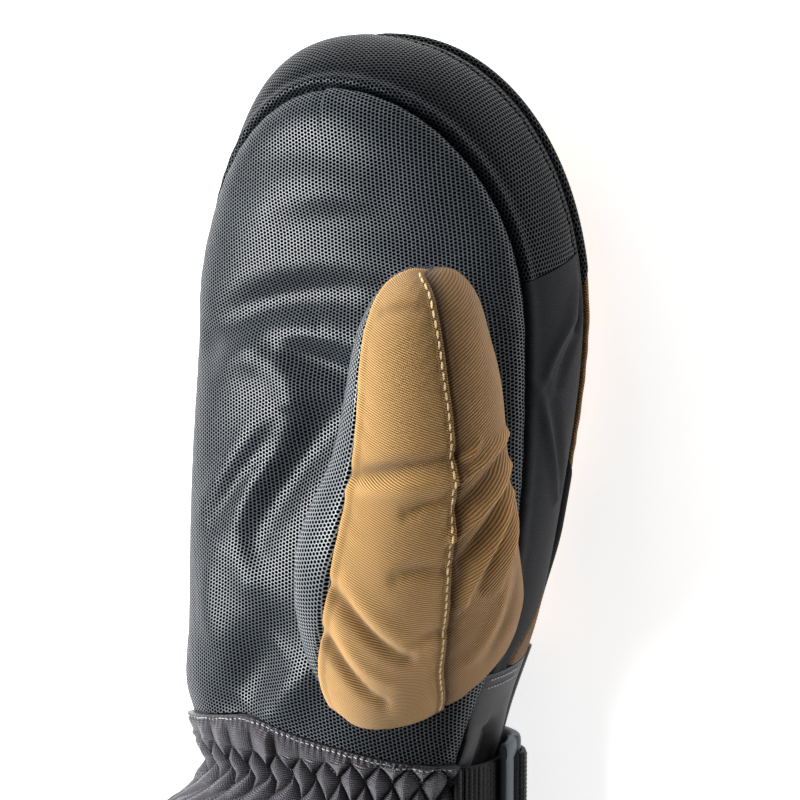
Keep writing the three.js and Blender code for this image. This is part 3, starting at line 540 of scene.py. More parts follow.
THUMB_FOLDS = [
    {"from": (-31, 92), "mid": (-18, 96), "to": (1, 98), "width": 2.0, "height": -2.1},
    {"from": (-33, 88), "mid": (-18, 91), "to": (0, 93), "width": 2.2, "height": 1.2},
    {"from": (-12, 85), "mid": (-7, 87), "to": (-2, 88), "width": 1.6, "height": -1.4},
    {"from": (-13, 69), "mid": (-7, 72), "to": (-2, 70), "width": 1.8, "height": -1.3},
    {"from": (-9, 52), "mid": (-5, 54), "to": (-1, 52), "width": 1.6, "height": -1.1},
    {"from": (-32, 64), "mid": (-22, 55), "to": (-11, 47), "width": 2.0, "height": -2.2},
    {"from": (-28, 66), "mid": (-18, 58), "to": (-8, 51), "width": 2.6, "height": 1.0},
    {"from": (-34, 52), "mid": (-30, 42), "to": (-20, 34), "width": 2.0, "height": -2.2},
    {"from": (-30, 55), "mid": (-25, 46), "to": (-15, 39), "width": 2.4, "height": 1.2},
    {"from": (-30, 135), "mid": (-20, 138), "to": (-7, 137), "width": 1.6, "height": -0.9},
    {"from": (2, 92), "mid": (10, 98), "to": (25, 100), "width": 1.4, "height": 2.2, "lean": 0.35},
    {"from": (2, 96), "mid": (5, 98), "to": (8, 101), "width": 1.2, "height": 1.2},
    {"from": (1, 85), "mid": (10, 92), "to": (26, 96), "width": 1.6, "height": -2.0},
    {"from": (1, 78), "mid": (8, 86), "to": (25, 91), "width": 1.5, "height": 2.4, "lean": 0.35},
    {"from": (2, 71), "mid": (9, 80), "to": (26, 87), "width": 1.5, "height": -2.0},
    {"from": (2, 59), "mid": (8, 76), "to": (25, 83), "width": 1.7, "height": 2.6, "lean": 0.35},
    {"from": (7, 61), "mid": (14, 73), "to": (27, 80), "width": 1.5, "height": -1.9},
    {"from": (12, 59), "mid": (19, 69), "to": (30, 78), "width": 1.8, "height": 2.0, "lean": 0.3},
    {"from": (17, 60), "mid": (10, 49), "to": (2, 38), "width": 2.2, "height": 1.3},
    {"from": (22, 54), "mid": (13, 42), "to": (5, 32), "width": 2.4, "height": -1.1},
]
print("the thumb has", len(THUMB_FOLDS), "folds")


# %% The thumb's skin
def thumb_frame(t):
    def middle(at):
        return np.stack([column(THUMB, "t", name, at) for name in "xyz"], -1)

    tangent = middle(np.clip(t + 0.02, 0, 1)) - middle(np.clip(t - 0.02, 0, 1))
    tangent /= np.linalg.norm(tangent, axis=-1, keepdims=True)
    facing = math.radians(THUMB_FACING)
    front = np.array([math.sin(facing), 0, math.cos(facing)])
    front = front - tangent * (tangent @ front)[..., None]
    front /= np.linalg.norm(front, axis=-1, keepdims=True)
    return middle(t), front, np.cross(tangent, front)


def turned_from(degrees, centre):
    """The angle from a centre line, the short way round."""
    return np.mod(degrees - centre + 180, 360) - 180


def thumb_swelling(degrees, t):
    """What the thumb gains or loses on its plain sack: an inward bulge, a full heel and a flatter side."""
    bulge = column(THUMB, "t", "inner_bulge", t)
    grow = bulge * bump_at(turned_from(degrees, THUMB_BULGE["centre"]), THUMB_BULGE["wide"])
    heel = bump_at(degrees - THUMB_HEEL["centre"], THUMB_HEEL["wide"])
    grow = grow + THUMB_HEEL["high"] * heel * bump_at(t - THUMB_HEEL["t"], THUMB_HEEL["long"])
    flat = bump_at(turned_from(degrees, THUMB_FLAT["centre"]), THUMB_FLAT["wide"])
    return grow - THUMB_FLAT["deep"] * flat * bump_at(t - THUMB_FLAT["t"], THUMB_FLAT["long"])


def thumb_skin(degrees, t, inset, nudge=(0, 0), detail=0.0):
    """A point on the thumb: degrees round it, t along it."""
    middle, front, right_way = thumb_frame(t)
    tip = np.clip((t - THUMB_TIP_FROM) / (1 - THUMB_TIP_FROM), 0, 1)
    base = np.clip((THUMB_BASE_TO - t) / THUMB_BASE_TO, 0, 1)
    cap = np.sqrt(np.maximum(0, 1 - tip ** THUMB_END_POWER["tip"]))
    cap = cap * np.sqrt(np.maximum(0, 1 - base ** THUMB_END_POWER["base"]))
    angle = np.radians(degrees)
    grow = thumb_swelling(degrees, t) - inset
    if inset <= 0:
        grow = grow + fold_height(THUMB_FOLDS, degrees * THUMB_MM_PER_DEGREE, t * THUMB_LENGTH) + detail
    deep = (column(THUMB, "t", "half_depth", t) + grow) * cap * power(np.cos(angle), 2 / THUMB_POWER)
    wide = (column(THUMB, "t", "half_width", t) + grow) * cap * power(np.sin(angle), 2 / THUMB_POWER)
    point = middle + front * (deep + nudge[0])[..., None] + right_way * (wide + nudge[1])[..., None]
    at_front = bump_at(turned_from(degrees, THUMB_TIP_DROP["centre"]), THUMB_TIP_DROP["wide"])
    point[..., 1] -= THUMB_TIP_DROP["deep"] * lerp(tip**30, tip**6, at_front)
    if inset > 0:
        point[..., 1] -= inset * tip**6
    return point


# %% [markdown]
# ## Into the frame
#
# The pattern has its own zero point and the frame has another. The cuff's binding is the lowest piece and
# the plainest, so its packed box tells how far the pattern moves. A typed distance would go stale if the
# pattern changed.

# %% Bend and move
CUFF_FOOT = -103
HEM_FOOT = -109
HEM_ROLL = 0.7


def grid(nu, nv):
    return np.meshgrid(np.linspace(0, 1, nu + 1), np.linspace(0, 1, nv + 1), indexing="ij")


def hem_grid(inset, around, along):
    """The cuff's binding. Drawn 48 by 2 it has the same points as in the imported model."""
    u, v = grid(around, along)
    roll = 0.0 if inset > 0 else HEM_ROLL * np.sin(math.pi * np.clip(v, 0.12, 0.88))
    return tube_skin(u, lerp(CUFF_FOOT - SEAM_GAP / 2, HEM_FOOT, v), inset, roll)


plain_hem = bend(hem_grid(0, 48, 2)).reshape(-1, 3)
hem_low, hem_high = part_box("cuff_hem")
SHIFT = np.array([
    (hem_low.x + hem_high.x) / 2 / MM - (plain_hem[:, 0].min() + plain_hem[:, 0].max()) / 2,
    hem_low.y / MM - plain_hem[:, 1].min(),
    0.0,
])
print("the pattern moves by", SHIFT.round(3), "mm into the frame")


def to_frame(points, curl=True):
    """From the pattern, in millimetres, to the frame, in metres. The thumb isn't curled with the hand."""
    return ((bend(points) if curl else points) + SHIFT) * MM


# %% [markdown]
# ## Sewing the grids into closed shells
#
# A real panel has thickness: outer cloth, padding and lining. Here it is an outer skin, an inner skin one
# wall below it, and a rim between them. A thickness modifier would cross itself in the sharp seams. Only
# the outer skin is seen, so the inner one keeps every sixth row and column, and its cells on the rim take
# the rim's fine points.

# %% Faces of a shell
def shell_faces(nu, nv, rims, step):
    """The faces of a fine outer grid, its rims and a coarse inner grid, as numbers of points."""
    outer_id = np.arange((nu + 1) * (nv + 1)).reshape(nu + 1, nv + 1)
    inner_id = outer_id + outer_id.size
    faces = []
    for i in range(nu):
        for j in range(nv):
            faces.append((outer_id[i, j], outer_id[i + 1, j], outer_id[i + 1, j + 1], outer_id[i, j + 1]))
    for i in range(nu):
        if "low" in rims:
            faces.append((outer_id[i + 1, 0], outer_id[i, 0], inner_id[i, 0], inner_id[i + 1, 0]))
        if "high" in rims:
            faces.append((outer_id[i, nv], outer_id[i + 1, nv], inner_id[i + 1, nv], inner_id[i, nv]))
    for j in range(nv):
        if "start" in rims:
            faces.append((outer_id[0, j], outer_id[0, j + 1], inner_id[0, j + 1], inner_id[0, j]))
        if "end" in rims:
            faces.append((outer_id[nu, j + 1], outer_id[nu, j], inner_id[nu, j], inner_id[nu, j + 1]))
    columns = list(range(0, nu, step)) + [nu]
    rows = list(range(0, nv, step)) + [nv]
    for i0, i1 in zip(columns, columns[1:]):
        for j0, j1 in zip(rows, rows[1:]):
            low = range(i0, i1) if j0 == 0 and "low" in rims else [i0]
            end = range(j0, j1) if i1 == nu and "end" in rims else [j0]
            high = range(i1, i0, -1) if j1 == nv and "high" in rims else [i1]
            start = range(j1, j0, -1) if i0 == 0 and "start" in rims else [j1]
            loop = [inner_id[i, j0] for i in low] + [inner_id[i1, j] for j in end]
            loop += [inner_id[i, j1] for i in high] + [inner_id[i0, j] for j in start]
            faces.append(tuple(reversed(loop)))
    return faces


# %% Mesh helpers
MERGE_NEAR = 4e-6


def link(name, mesh):
    piece = bpy.data.objects.new(name, mesh)
    bpy.context.scene.collection.objects.link(piece)
    print(name, "has", len(mesh.polygons), "faces")
    return piece


def finish_shading(mesh, sharp=60):
    mesh.shade_smooth()
    mesh.set_sharp_from_angle(angle=math.radians(sharp))


def add_layer(mesh, name, places):
    """A layer of cloth coordinates, from one place for each point of the mesh."""
    corner = np.zeros(len(mesh.loops), np.int32)
    mesh.loops.foreach_get("vertex_index", corner)
    mesh.uv_layers.new(name=name).data.foreach_set("uv", places[corner].astype(np.float32).ravel())


def close_up(mesh, fill_ends=False):
    """Merges points that meet, fills open ends if asked and turns every face outwards."""
    work = bmesh.new()
    work.from_mesh(mesh)
    bmesh.ops.remove_doubles(work, verts=work.verts, dist=MERGE_NEAR)
    bmesh.ops.dissolve_degenerate(work, edges=work.edges, dist=MERGE_NEAR / 4)
    if fill_ends:
        bmesh.ops.holes_fill(work, edges=[edge for edge in work.edges if edge.is_boundary])
    bmesh.ops.recalc_face_normals(work, faces=work.faces)
    work.to_mesh(mesh)
    work.free()


# %% Shell maker
def shell(name, outer, inner, uv, open_sides=(), step=6, wear=0.5):
    """A closed shell from two grids in the frame. open_sides meet themselves and get no rim."""
    nu, nv = outer.shape[0] - 1, outer.shape[1] - 1
    faces = shell_faces(nu, nv, {"low", "high", "start", "end"} - set(open_sides), step)
    points = np.concatenate([outer.reshape(-1, 3), inner.reshape(-1, 3)])
    used = np.unique(np.concatenate([np.array(face) for face in faces]))
    renamed = np.full(len(points), -1)
    renamed[used] = np.arange(len(used))
    mesh = bpy.data.meshes.new(name)
    mesh.from_pydata(points[used].tolist(), [], [tuple(renamed[list(face)].tolist()) for face in faces])
    add_layer(mesh, "cloth", np.concatenate([uv.reshape(-1, 2)] * 2)[used])
    # The second cloth layer holds painted shade (low values) and painted highlights (high values) for each
    # point.
    wear = np.broadcast_to(wear, outer.shape[:2]).reshape(-1)
    add_layer(mesh, "wear", np.stack([np.concatenate([wear, wear]), np.zeros(len(points))], -1)[used])
    close_up(mesh)
    finish_shading(mesh)
    return link(name, mesh)


# %% [markdown]
# The weave of each cloth needs coordinates in real lengths. They could be unwrapped, but lengths along
# the grid's own lines are already straight with the cloth's cut.

# %% Cloth coordinates
def lengths(points, axis):
    """How far along each grid line a point lies, in the points' own unit."""
    steps = np.linalg.norm(np.diff(points, axis=axis), axis=-1)
    zero = np.zeros_like(np.take(steps, [0], axis=axis))
    return np.concatenate([zero, np.cumsum(steps, axis=axis)], axis=axis)


def uv_from_lengths(points):
    """Cloth coordinates in metres: the mean length along the grid and the length across it."""
    along = np.broadcast_to(lengths(points, 0).mean(1, keepdims=True), points.shape[:2])
    return np.stack([along, lengths(points, 1)], -1)


def sewn(name, outer, inner, **settings):
    """A shell from two grids of the pattern, with cloth coordinates along the outer one."""
    return shell(name, to_frame(outer), to_frame(inner), uv_from_lengths(outer) * MM, **settings)


# %% Moving a grid's points
def push(points, amount, sign=1):
    """Moves a grid's points square to its surface, in millimetres."""
    normal = np.cross(np.gradient(points, axis=0), np.gradient(points, axis=1))
    normal = normal / np.maximum(np.linalg.norm(normal, axis=-1, keepdims=True), 1e-9)
    return points + normal * (np.broadcast_to(amount, points.shape[:2]) * sign)[..., None]


def gather_to_ends(u, amount=0.55):
    """Grid steps made closer at both ends, where the seams are."""
    return u - amount * np.sin(2 * math.pi * u) / (2 * math.pi)


def pucker(along, away, pitch, reach):
    """Small waves that a seam pulls into padded cloth, never quite even."""
    wander = 0.9 * np.sin(along * 0.21) + 0.6 * np.sin(along * 0.083 + 1)
    return np.cos(2 * math.pi * along / pitch + wander) * np.exp(-((away / reach) ** 2))


# %% [markdown]
# The thumb passes through the palm, so holes are cut. A boolean cut keeps the panels closed and keeps
# their cloth coordinates, where deleting faces would leave a ragged hole.

# %% Cutting
def cut(piece, cutter):
    """Takes the cutter's solid away from the piece and keeps the cloth coordinates."""
    work = piece.modifiers.new("cut", "BOOLEAN")
    work.operation = "DIFFERENCE"
    work.solver = "MANIFOLD"
    work.object = cutter
    bpy.context.view_layer.update()
    mesh = bpy.data.meshes.new_from_object(piece.evaluated_get(bpy.context.evaluated_depsgraph_get()))
    piece.modifiers.clear()
    old = piece.data
    piece.data = mesh
    bpy.data.meshes.remove(old)
    mesh.name = piece.name
    finish_shading(mesh)


# %% [markdown]
# ## Palm and back
#
# Both are padded plates whose rim rolls over the seam. They could be flat sheets blown up by a cloth
# simulation, but then the folds and the seam would land where they like. Here grid lines run from the
# seam to the middle line, close together at the seam where the cloth turns fastest. The seam itself is a
# sharp valley with faint puckers beside it, because the thread pulls the padding in.

# %% Palm and back
HAND_WALL = 5
PLATE_SIZES = {"palm": (156, 228, 84), "back": (84, 168, 48)}
PLATE_SEAM = {"deep": -0.8, "wide": 1.1, "pucker": 0.08, "pitch": 9, "reach": 3.5}
# Painted shadow of the thumb on the palm, beside it and towards the wrist.
PALM_SHADE = {"amount": 0.42, "x": -4, "x_fade": 16, "s": 24, "s_fade": 12}


def plate_steps(rows, round_tip):
    """Places on the seam: evenly up one side, round the tip and down the other."""
    k = np.arange(rows * 2 + round_tip + 1)
    on_tip = 1 + (k - rows) / round_tip
    far_side = 2 + (k - rows - round_tip) / rows
    return np.where(k <= rows, k / rows, np.where(k >= rows + round_tip, far_side, on_tip))


def plate_uv(face, a, outer):
    """Cloth coordinates that run along and across the hand, measured out from its middle line."""
    seam_x, seam_s, _ = seam_point(face, a, 0, PLATE_FOOT[face])
    s0 = np.minimum(seam_s, ARCH_START)
    index, pinky = width_at(face, s0, 0)
    across, along = seam_x - (index + pinky) / 2, seam_s - s0
    far = np.maximum(np.hypot(across, along), 1e-9)
    reach = lengths(outer[:, ::-1], 1)[:, ::-1]
    return np.stack([reach * across / far, s0 + reach * along / far], -1) * MM


def plate(face, name):
    rows, round_tip, rises = PLATE_SIZES[face]
    rise = np.linspace(0, 1, rises + 1)
    a, rise = np.meshgrid(plate_steps(rows, round_tip), lerp(rise, rise**2, 0.45), indexing="ij")
    outer = plate_skin(face, a, rise, 0)
    from_seam, along_seam = lengths(outer, 1), lengths(outer, 0)[:, :1]
    crease = PLATE_SEAM["deep"] * bump_at(from_seam, PLATE_SEAM["wide"])
    waves = pucker(along_seam, from_seam - PLATE_SEAM["reach"], PLATE_SEAM["pitch"], PLATE_SEAM["reach"])
    crease = crease + PLATE_SEAM["pucker"] * waves
    outer = push(outer, crease * smooth((0.9 - rise) / 0.3), 1 if face == "palm" else -1)
    folds = fold_height(PLATE_FOLDS[face], outer[..., 0], outer[..., 1])
    # Painted shade in the fold valleys and beside the seam, painted highlights on the fold crests.
    wear = np.clip(0.5 + 0.05 * folds, 0, 1) * lerp(0.55, 1, smooth(from_seam / 2.2))
    # Here the thumb's shadow is painted onto the palm.
    if face == "palm":
        beside_thumb = smooth((outer[..., 0] - PALM_SHADE["x"]) / PALM_SHADE["x_fade"])
        near_wrist = smooth((PALM_SHADE["s"] - outer[..., 1]) / PALM_SHADE["s_fade"])
        wear = wear - PALM_SHADE["amount"] * beside_thumb * near_wrist
    inner = plate_skin(face, a, rise, HAND_WALL)
    uv = plate_uv(face, a, outer)
    return shell(name, to_frame(outer), to_frame(inner), uv, open_sides=("high",), wear=wear)


palm = plate("palm", "palm_cloth")
hand_back = plate("back", "back_cloth")

# %% [markdown]
# ## The strip round the edge
#
# A black dotted band wraps the fingertips, and plain navy strips carry on down both sides. On the real
# mitten one long strip is sewn from three cloths, so one function makes all of it. Near the wrist the
# caramel back laps up over the strip, and the laps are the lower part of the same grid.

# %% Folds of the side strips
SIDE_FOLDS = [
    {"from": (118, 26), "mid": (115, 13), "to": (100, 8), "width": 2.0, "height": 1.3},
    {"from": (112, 27), "mid": (106, 18), "to": (96, 14), "width": 2.4, "height": -1.3},
    {"from": (96, 5), "mid": (82, 8), "to": (56, 20), "width": 2.2, "height": 1.3},
    {"from": (90, 12), "mid": (74, 17), "to": (58, 25), "width": 2.6, "height": -1.2},
    {"from": (117, 29), "mid": (116, 27), "to": (113, 26), "width": 2.0, "height": -2.4},
]
print("the side strips have", len(SIDE_FOLDS), "folds")

# %% Band, side strips and laps
BAND_START = 1.06
BAND_END = 1.94
LAP_LENGTH = 0.3
LAP_RISE = 0.68
LAP_GAP = 0.008
STRIP_TRIM = 0.0008
STRIP_LENGTH = 116
STRIP_SEAM = {"at_palm": -0.7, "at_back": -0.8, "wide": 1.0, "pucker": 0.07, "pitch": 8, "reach": 3.5}
STRIP_ROLL = {"at": 2.7, "wide": 1.5, "dip": 0.12, "dip_at": 5.8, "dip_wide": 1.6}
SECOND_SEAM = {"at": 0.8, "deep": 0.9, "wide": 0.6, "pucker": 0.12, "pitch": 10, "reach": 3}
STRIPS = {
    "band_cloth": {"from": BAND_START, "to": BAND_END, "steps": (252, 60), "roll": 1.0},
    "index_side_cloth": {"from": 0, "to": BAND_START, "steps": (180, 48), "roll": 0.35},
    "pinky_side_cloth": {"from": BAND_END, "to": 3, "steps": (180, 48), "roll": 0.35},
    "index_lap_cloth": {"from": 0, "to": LAP_LENGTH - LAP_GAP, "steps": (60, 24), "roll": 0},
    "pinky_lap_cloth": {"from": 3 + LAP_GAP - LAP_LENGTH, "to": 3, "steps": (60, 24), "roll": 0},
}


def lap_line(a):
    """How far down the side (w) its strip reaches; near the wrist the back laps up over it."""
    return 1 - LAP_RISE * (1 - smooth(np.minimum(a, 3 - a) / LAP_LENGTH))


def strip_relief(name, a, from_palm, along):
    """Valleys at both seams, a roll beside the palm seam, puckers, and a second seam or the folds."""
    whole = from_palm[:, -1:]
    roll = STRIPS[name]["roll"]
    relief = STRIP_SEAM["at_palm"] * bump_at(from_palm, STRIP_SEAM["wide"])
    relief += STRIP_SEAM["at_back"] * bump_at(whole - from_palm, STRIP_SEAM["wide"])
    dip = STRIP_ROLL["dip"] * roll * bump_at(from_palm - STRIP_ROLL["dip_at"], STRIP_ROLL["dip_wide"])
    relief += roll * bump_at(from_palm - STRIP_ROLL["at"], STRIP_ROLL["wide"]) - dip
    relief += STRIP_SEAM["pucker"] * pucker(along, from_palm - 3, STRIP_SEAM["pitch"], STRIP_SEAM["reach"])
    if name != "band_cloth":
        straight = np.where(a < 1.5, a, 3 - a) * STRIP_LENGTH
        return relief + fold_height(SIDE_FOLDS, straight, from_palm)
    from_second = from_palm - whole * SECOND_SEAM["at"]
    relief -= SECOND_SEAM["deep"] * bump_at(from_second, SECOND_SEAM["wide"]) * smooth((1.62 - a) / 0.1)
    waves = pucker(along, -from_second, SECOND_SEAM["pitch"], SECOND_SEAM["reach"])
    return relief + SECOND_SEAM["pucker"] * waves


def strip(name):
    start, end = STRIPS[name]["from"], STRIPS[name]["to"]
    u, w = grid(*STRIPS[name]["steps"])
    w = gather_to_ends(w, 0.5)
    a = lerp(0 if start == 0 else start + STRIP_TRIM, 3 if end == 3 else end - STRIP_TRIM, u)
    edge = lap_line(a)
    w = lerp(np.minimum(edge + LAP_GAP, 1), 1, w) if "lap" in name else w * edge
    foot = lerp(SIDE_FOOT["palm"], SIDE_FOOT["back"], w)
    outer = gusset_skin(a, w, 0, foot)
    from_palm = lengths(outer, 1)
    relief = strip_relief(name, a, from_palm, lengths(outer, 0)[:, :1])
    outer = push(outer, relief * smooth(from_palm[:, -1:] / 3), -1)
    # Painted shade in the seam valleys and towards the index side's wrist end, painted highlight on the
    # roll.
    wear = np.clip(0.5 + 0.3 * relief, 0.05, 0.8) - 0.2 * (1 - smooth((a - 0.15) / 0.3))
    return sewn(name, outer, gusset_skin(a, w, HAND_WALL, foot), wear=wear)


strips = {name: strip(name) for name in STRIPS}

# %% [markdown]
# The band and the navy cloth don't stop at the back's seam: they are turned round the back's rolled edge,
# and the caramel shows beyond them only where the turned edge runs out. A thin shell laid on the back's
# own skin does this without moving the silhouette.

# %% Turned edges
WRAPS = {
    "band_turned_cloth": {"from": 1.015, "to": 1.94, "count": 200, "fade": (0.045, 0.06)},
    "index_turned_cloth": {"from": 0.085, "to": 0.6, "count": 120, "fade": (0.07, 0.17)},
}
WRAP_RISE = 0.3
WRAP_LIFT = {"inside": 0.05, "thin": 0.15, "full": 0.3}


def wrapped(name):
    wrap = WRAPS[name]
    start_fade, end_fade = wrap["fade"]
    u, v = grid(wrap["count"], 16)
    a = lerp(wrap["from"], wrap["to"], u)
    deep = smooth((a - wrap["from"]) / start_fade) * smooth((wrap["to"] - a) / end_fade)
    skin = plate_skin("back", a, lerp(0.004, WRAP_RISE * np.maximum(deep, 0.03), v), 0)
    lift = WRAP_LIFT["thin"] + WRAP_LIFT["full"] * smooth(deep * 3) - 0.12 * bump_at(1 - v, 0.12)
    outer, inner = push(skin, lift, -1), push(skin, WRAP_LIFT["inside"], -1)
    # Painted shade along the seam edge of the turned cloth.
    return sewn(name, outer, inner, wear=0.45 - 0.2 * bump_at(v, 0.15))


wraps = {name: wrapped(name) for name in WRAPS}

# %% [markdown]
# ## The thumb
#
# The front panel's edge is folded under and sewn down on its neighbours, which is what makes the long
# lipped seam with its stitches. A painted line would stay flat in the side light, so the lip, the valley
# beside it and the bed of the thread are moved points.

# %% Seam lines of the thumb
THUMB_SEAMS = {
    "t": [0, 0.12, 0.23, 0.32, 0.45, 0.6, 0.75, 0.9, 0.96, 1],
    "front_rear": [-22, -17, -9.5, -4, 1, 3.5, 0.5, -8, -17, -40],
    "rear_inner": [150, 150, 150, 150, 150, 150, 150, 150, 150, 150],
    "inner_front": [-95, -95, -91, -84, -77, -78, -80, -90, -102, -112],
}
THUMB_PANELS = {
    "thumb_front_panel": {"from": "inner_front", "to": "front_rear", "turn": 0, "count": 90},
    "thumb_side_panel": {"from": "front_rear", "to": "rear_inner", "turn": 0, "count": 120},
    "thumb_inner_panel": {"from": "rear_inner", "to": "inner_front", "turn": 360, "count": 66},
}
THUMB_ROWS = {"base": 14, "middle": 150, "tip": 48}
THUMB_WALL = 4
STITCH_FROM_EDGE = 1.35
FRONT_EDGE = {
    "lip": 0.7, "valley": -0.75, "valley_wide": 4.5, "hem": 0.5,
    "thread_bed": -0.3, "bed_wide": 0.4, "notch": -1.7, "notch_from": 0.93,
}
SIDE_EDGE = {"start": -0.5, "end": -0.8, "valley": -0.85, "valley_wide": 4.5, "pucker": 0.14}
INNER_EDGE = {"start": -0.6, "end": -1.1}
print("the thumb panels have", sum(THUMB_ROWS.values()), "rows")


def thumb_rows():
    base, middle, tip = THUMB_ROWS["base"], THUMB_ROWS["middle"], THUMB_ROWS["tip"]
    low = THUMB_BASE_TO * (1 - np.cos(math.pi / 2 * np.arange(base) / base))
    straight = np.linspace(THUMB_BASE_TO, THUMB_TIP_FROM, middle + 1)
    high = lerp(THUMB_TIP_FROM, 1, np.sin(math.pi / 2 * np.arange(1, tip + 1) / tip))
    return np.concatenate([low, straight, high])


def panel_edges(panel, t):
    """The two seam lines of a panel, in degrees round the thumb."""
    start = column(THUMB_SEAMS, "t", panel["from"], t)
    return start, column(THUMB_SEAMS, "t", panel["to"], t) + panel["turn"]


# %% Folded and tucked edges
def front_relief(from_start, to_end, along):
    """The front panel laps over its neighbours with a folded, stitched edge, notched near the tip."""
    lip = FRONT_EDGE["lip"] * smooth(from_start / 0.35) * (1 - smooth((from_start - 0.5) / 2.4))
    valley = FRONT_EDGE["valley"] * bump_at(to_end, FRONT_EDGE["valley_wide"])
    folded = FRONT_EDGE["hem"] * smooth(to_end / 0.22) * (1 - smooth((to_end - 1.7) / 1.0))
    bed = FRONT_EDGE["thread_bed"] * bump_at(to_end - STITCH_FROM_EDGE, FRONT_EDGE["bed_wide"])
    pulled = 0.1 * pucker(along, to_end - 4, 7.5, 2.6) + 0.15 * pucker(along + 3, from_start - 3, 9, 2.5)
    notch = FRONT_EDGE["notch"] * smooth((along / along[:, -1:] - FRONT_EDGE["notch_from"]) / 0.06)
    return lip + valley + folded + bed + pulled + notch


def side_relief(from_start, to_end, along):
    """The side panel is tucked in under the front panel's edge and puckered beside it."""
    tucked = SIDE_EDGE["start"] * (1 - smooth(from_start / 1.1))
    tucked = tucked + SIDE_EDGE["end"] * (1 - smooth(to_end / 1.5))
    valley = SIDE_EDGE["valley"] * bump_at(from_start, SIDE_EDGE["valley_wide"])
    return tucked + valley + SIDE_EDGE["pucker"] * pucker(along + 2, from_start - 3.5, 11, 3.2)


def inner_relief(from_start, to_end, along):
    """The dotted panel is tucked in at both of its seams."""
    tucked = INNER_EDGE["start"] * (1 - smooth(from_start / 1.5))
    return tucked + INNER_EDGE["end"] * (1 - smooth(to_end / 1.8))


EDGES = {
    "thumb_front_panel": front_relief,
    "thumb_side_panel": side_relief,
    "thumb_inner_panel": inner_relief,
}
print("the stitches lie", STITCH_FROM_EDGE, "mm in from the folded edge")


# %% Thumb panels
THREAD_PATHS = {}


def seam_nudge(start, end, t, u):
    """Moves a panel's points so that the seam's gap stays the same along it and round both ends."""
    a, b = np.radians(start), np.radians(end)
    gap = SEAM_GAP / 2
    pole = gap / np.sin(np.minimum((b - a) / 2, math.pi / 2))
    at_pole = (t < 1e-9) | (t > 1 - 1e-9)
    side_front = np.where(at_pole, np.cos((a + b) / 2) * pole, lerp(-np.sin(a), np.sin(b), u) * gap)
    side_right = np.where(at_pole, np.sin((a + b) / 2) * pole, lerp(np.cos(a), -np.cos(b), u) * gap)
    return side_front, side_right


def keep_thread_path(outer, to_end, t):
    """Where the stitches go: a fixed way in from the front panel's folded edge."""
    steps = np.arange(len(to_end))[::-1]
    j = np.arange(outer.shape[1])
    row = np.array([np.interp(STITCH_FROM_EDGE, to_end[::-1, k], steps) for k in j])
    low_row = np.floor(row).astype(int)
    path = lerp(outer[low_row, j], outer[low_row + 1, j], (row - low_row)[:, None])
    THREAD_PATHS["thumb"] = path, path - thumb_frame(t)[0]


def thumb_painted_shading(name, degrees, t, from_start, to_end):
    """Painted shade in creases, beside the seams and towards the tip; a painted highlight on the front's
    lip.
    """
    folds = fold_height(THUMB_FOLDS, degrees * THUMB_MM_PER_DEGREE, t * THUMB_LENGTH)
    wear = np.clip(0.5 + 0.12 * folds, 0, 1)
    if name == "thumb_front_panel":
        wear = wear * lerp(0.62, 1, smooth(to_end / 7)) * (1 - 0.3 * bump_at(to_end, 0.6))
        return wear + 0.3 * (1 - smooth(from_start / 2.5)) - 0.12 * smooth((t - 0.72) / 0.2)
    if name == "thumb_side_panel":
        return wear * lerp(0.35, 1, smooth(from_start / 5)) - 0.12 * smooth((t - 0.72) / 0.2)
    return wear


def thumb_panel(name):
    panel = THUMB_PANELS[name]
    u = gather_to_ends(np.linspace(0, 1, panel["count"] + 1))
    u, t = np.meshgrid(u, thumb_rows(), indexing="ij")
    start, end = panel_edges(panel, t)
    degrees = lerp(start, end, u)
    nudge = seam_nudge(start, end, t, u)
    plain = thumb_skin(degrees, t, 0, nudge)
    from_start, along = lengths(plain, 0), lengths(plain, 1)
    to_end = from_start[-1:] - from_start
    closing = smooth(t / 0.05) * smooth((1 - t) / 0.02)
    outer = thumb_skin(degrees, t, 0, nudge, EDGES[name](from_start, to_end, along) * closing)
    inner = thumb_skin(degrees, t, THUMB_WALL, nudge)
    if name == "thumb_front_panel":
        keep_thread_path(outer, to_end, t[0])
    from_middle = from_start - from_start[-1:] / 2
    uv = np.stack([from_middle, np.broadcast_to(along.mean(0, keepdims=True), along.shape)], -1) * MM
    wear = thumb_painted_shading(name, degrees, t, from_start, to_end)
    shapes = to_frame(outer, False), to_frame(inner, False)
    return shell(name.replace("panel", "cloth"), *shapes, uv, open_sides=("low", "high"), wear=wear)


thumb = {name: thumb_panel(name) for name in THUMB_PANELS}

# %% [markdown]
# Each thumb panel is trimmed where it would reach into the hand's hollow, and the palm and the wrist are
# opened where the thumb passes through. Both cutters come from the same skins as the panels, so every cut
# follows the cloth beside it with an even gap.

# %% Cutters
def closed_grid(name, points):
    """A closed solid from rings of points; its open ends get a plain cap."""
    rings, steps = points.shape[0], points.shape[1] - 1
    ids = np.arange(points.shape[0] * points.shape[1]).reshape(points.shape[:2])
    faces = []
    for i in range(rings):
        n = (i + 1) % rings
        faces += [(ids[i, j], ids[n, j], ids[n, j + 1], ids[i, j + 1]) for j in range(steps)]
    mesh = bpy.data.meshes.new(name)
    mesh.from_pydata(points.reshape(-1, 3).tolist(), [], [tuple(int(v) for v in face) for face in faces])
    close_up(mesh, fill_ends=True)
    return link(name, mesh)


def thumb_solid(inset):
    """The whole thumb as one solid, from every second row and column of its panels."""
    t = thumb_rows()[::2]
    degrees = []
    for panel in THUMB_PANELS.values():
        start, end = panel_edges(panel, t)
        steps = gather_to_ends(np.arange(0, panel["count"], 2) / panel["count"])
        degrees += [lerp(start, end, step) for step in steps]
    degrees = np.array(degrees)
    points = thumb_skin(degrees, np.broadcast_to(t, degrees.shape), inset)
    return closed_grid("thumb_cutter", to_frame(points, False))


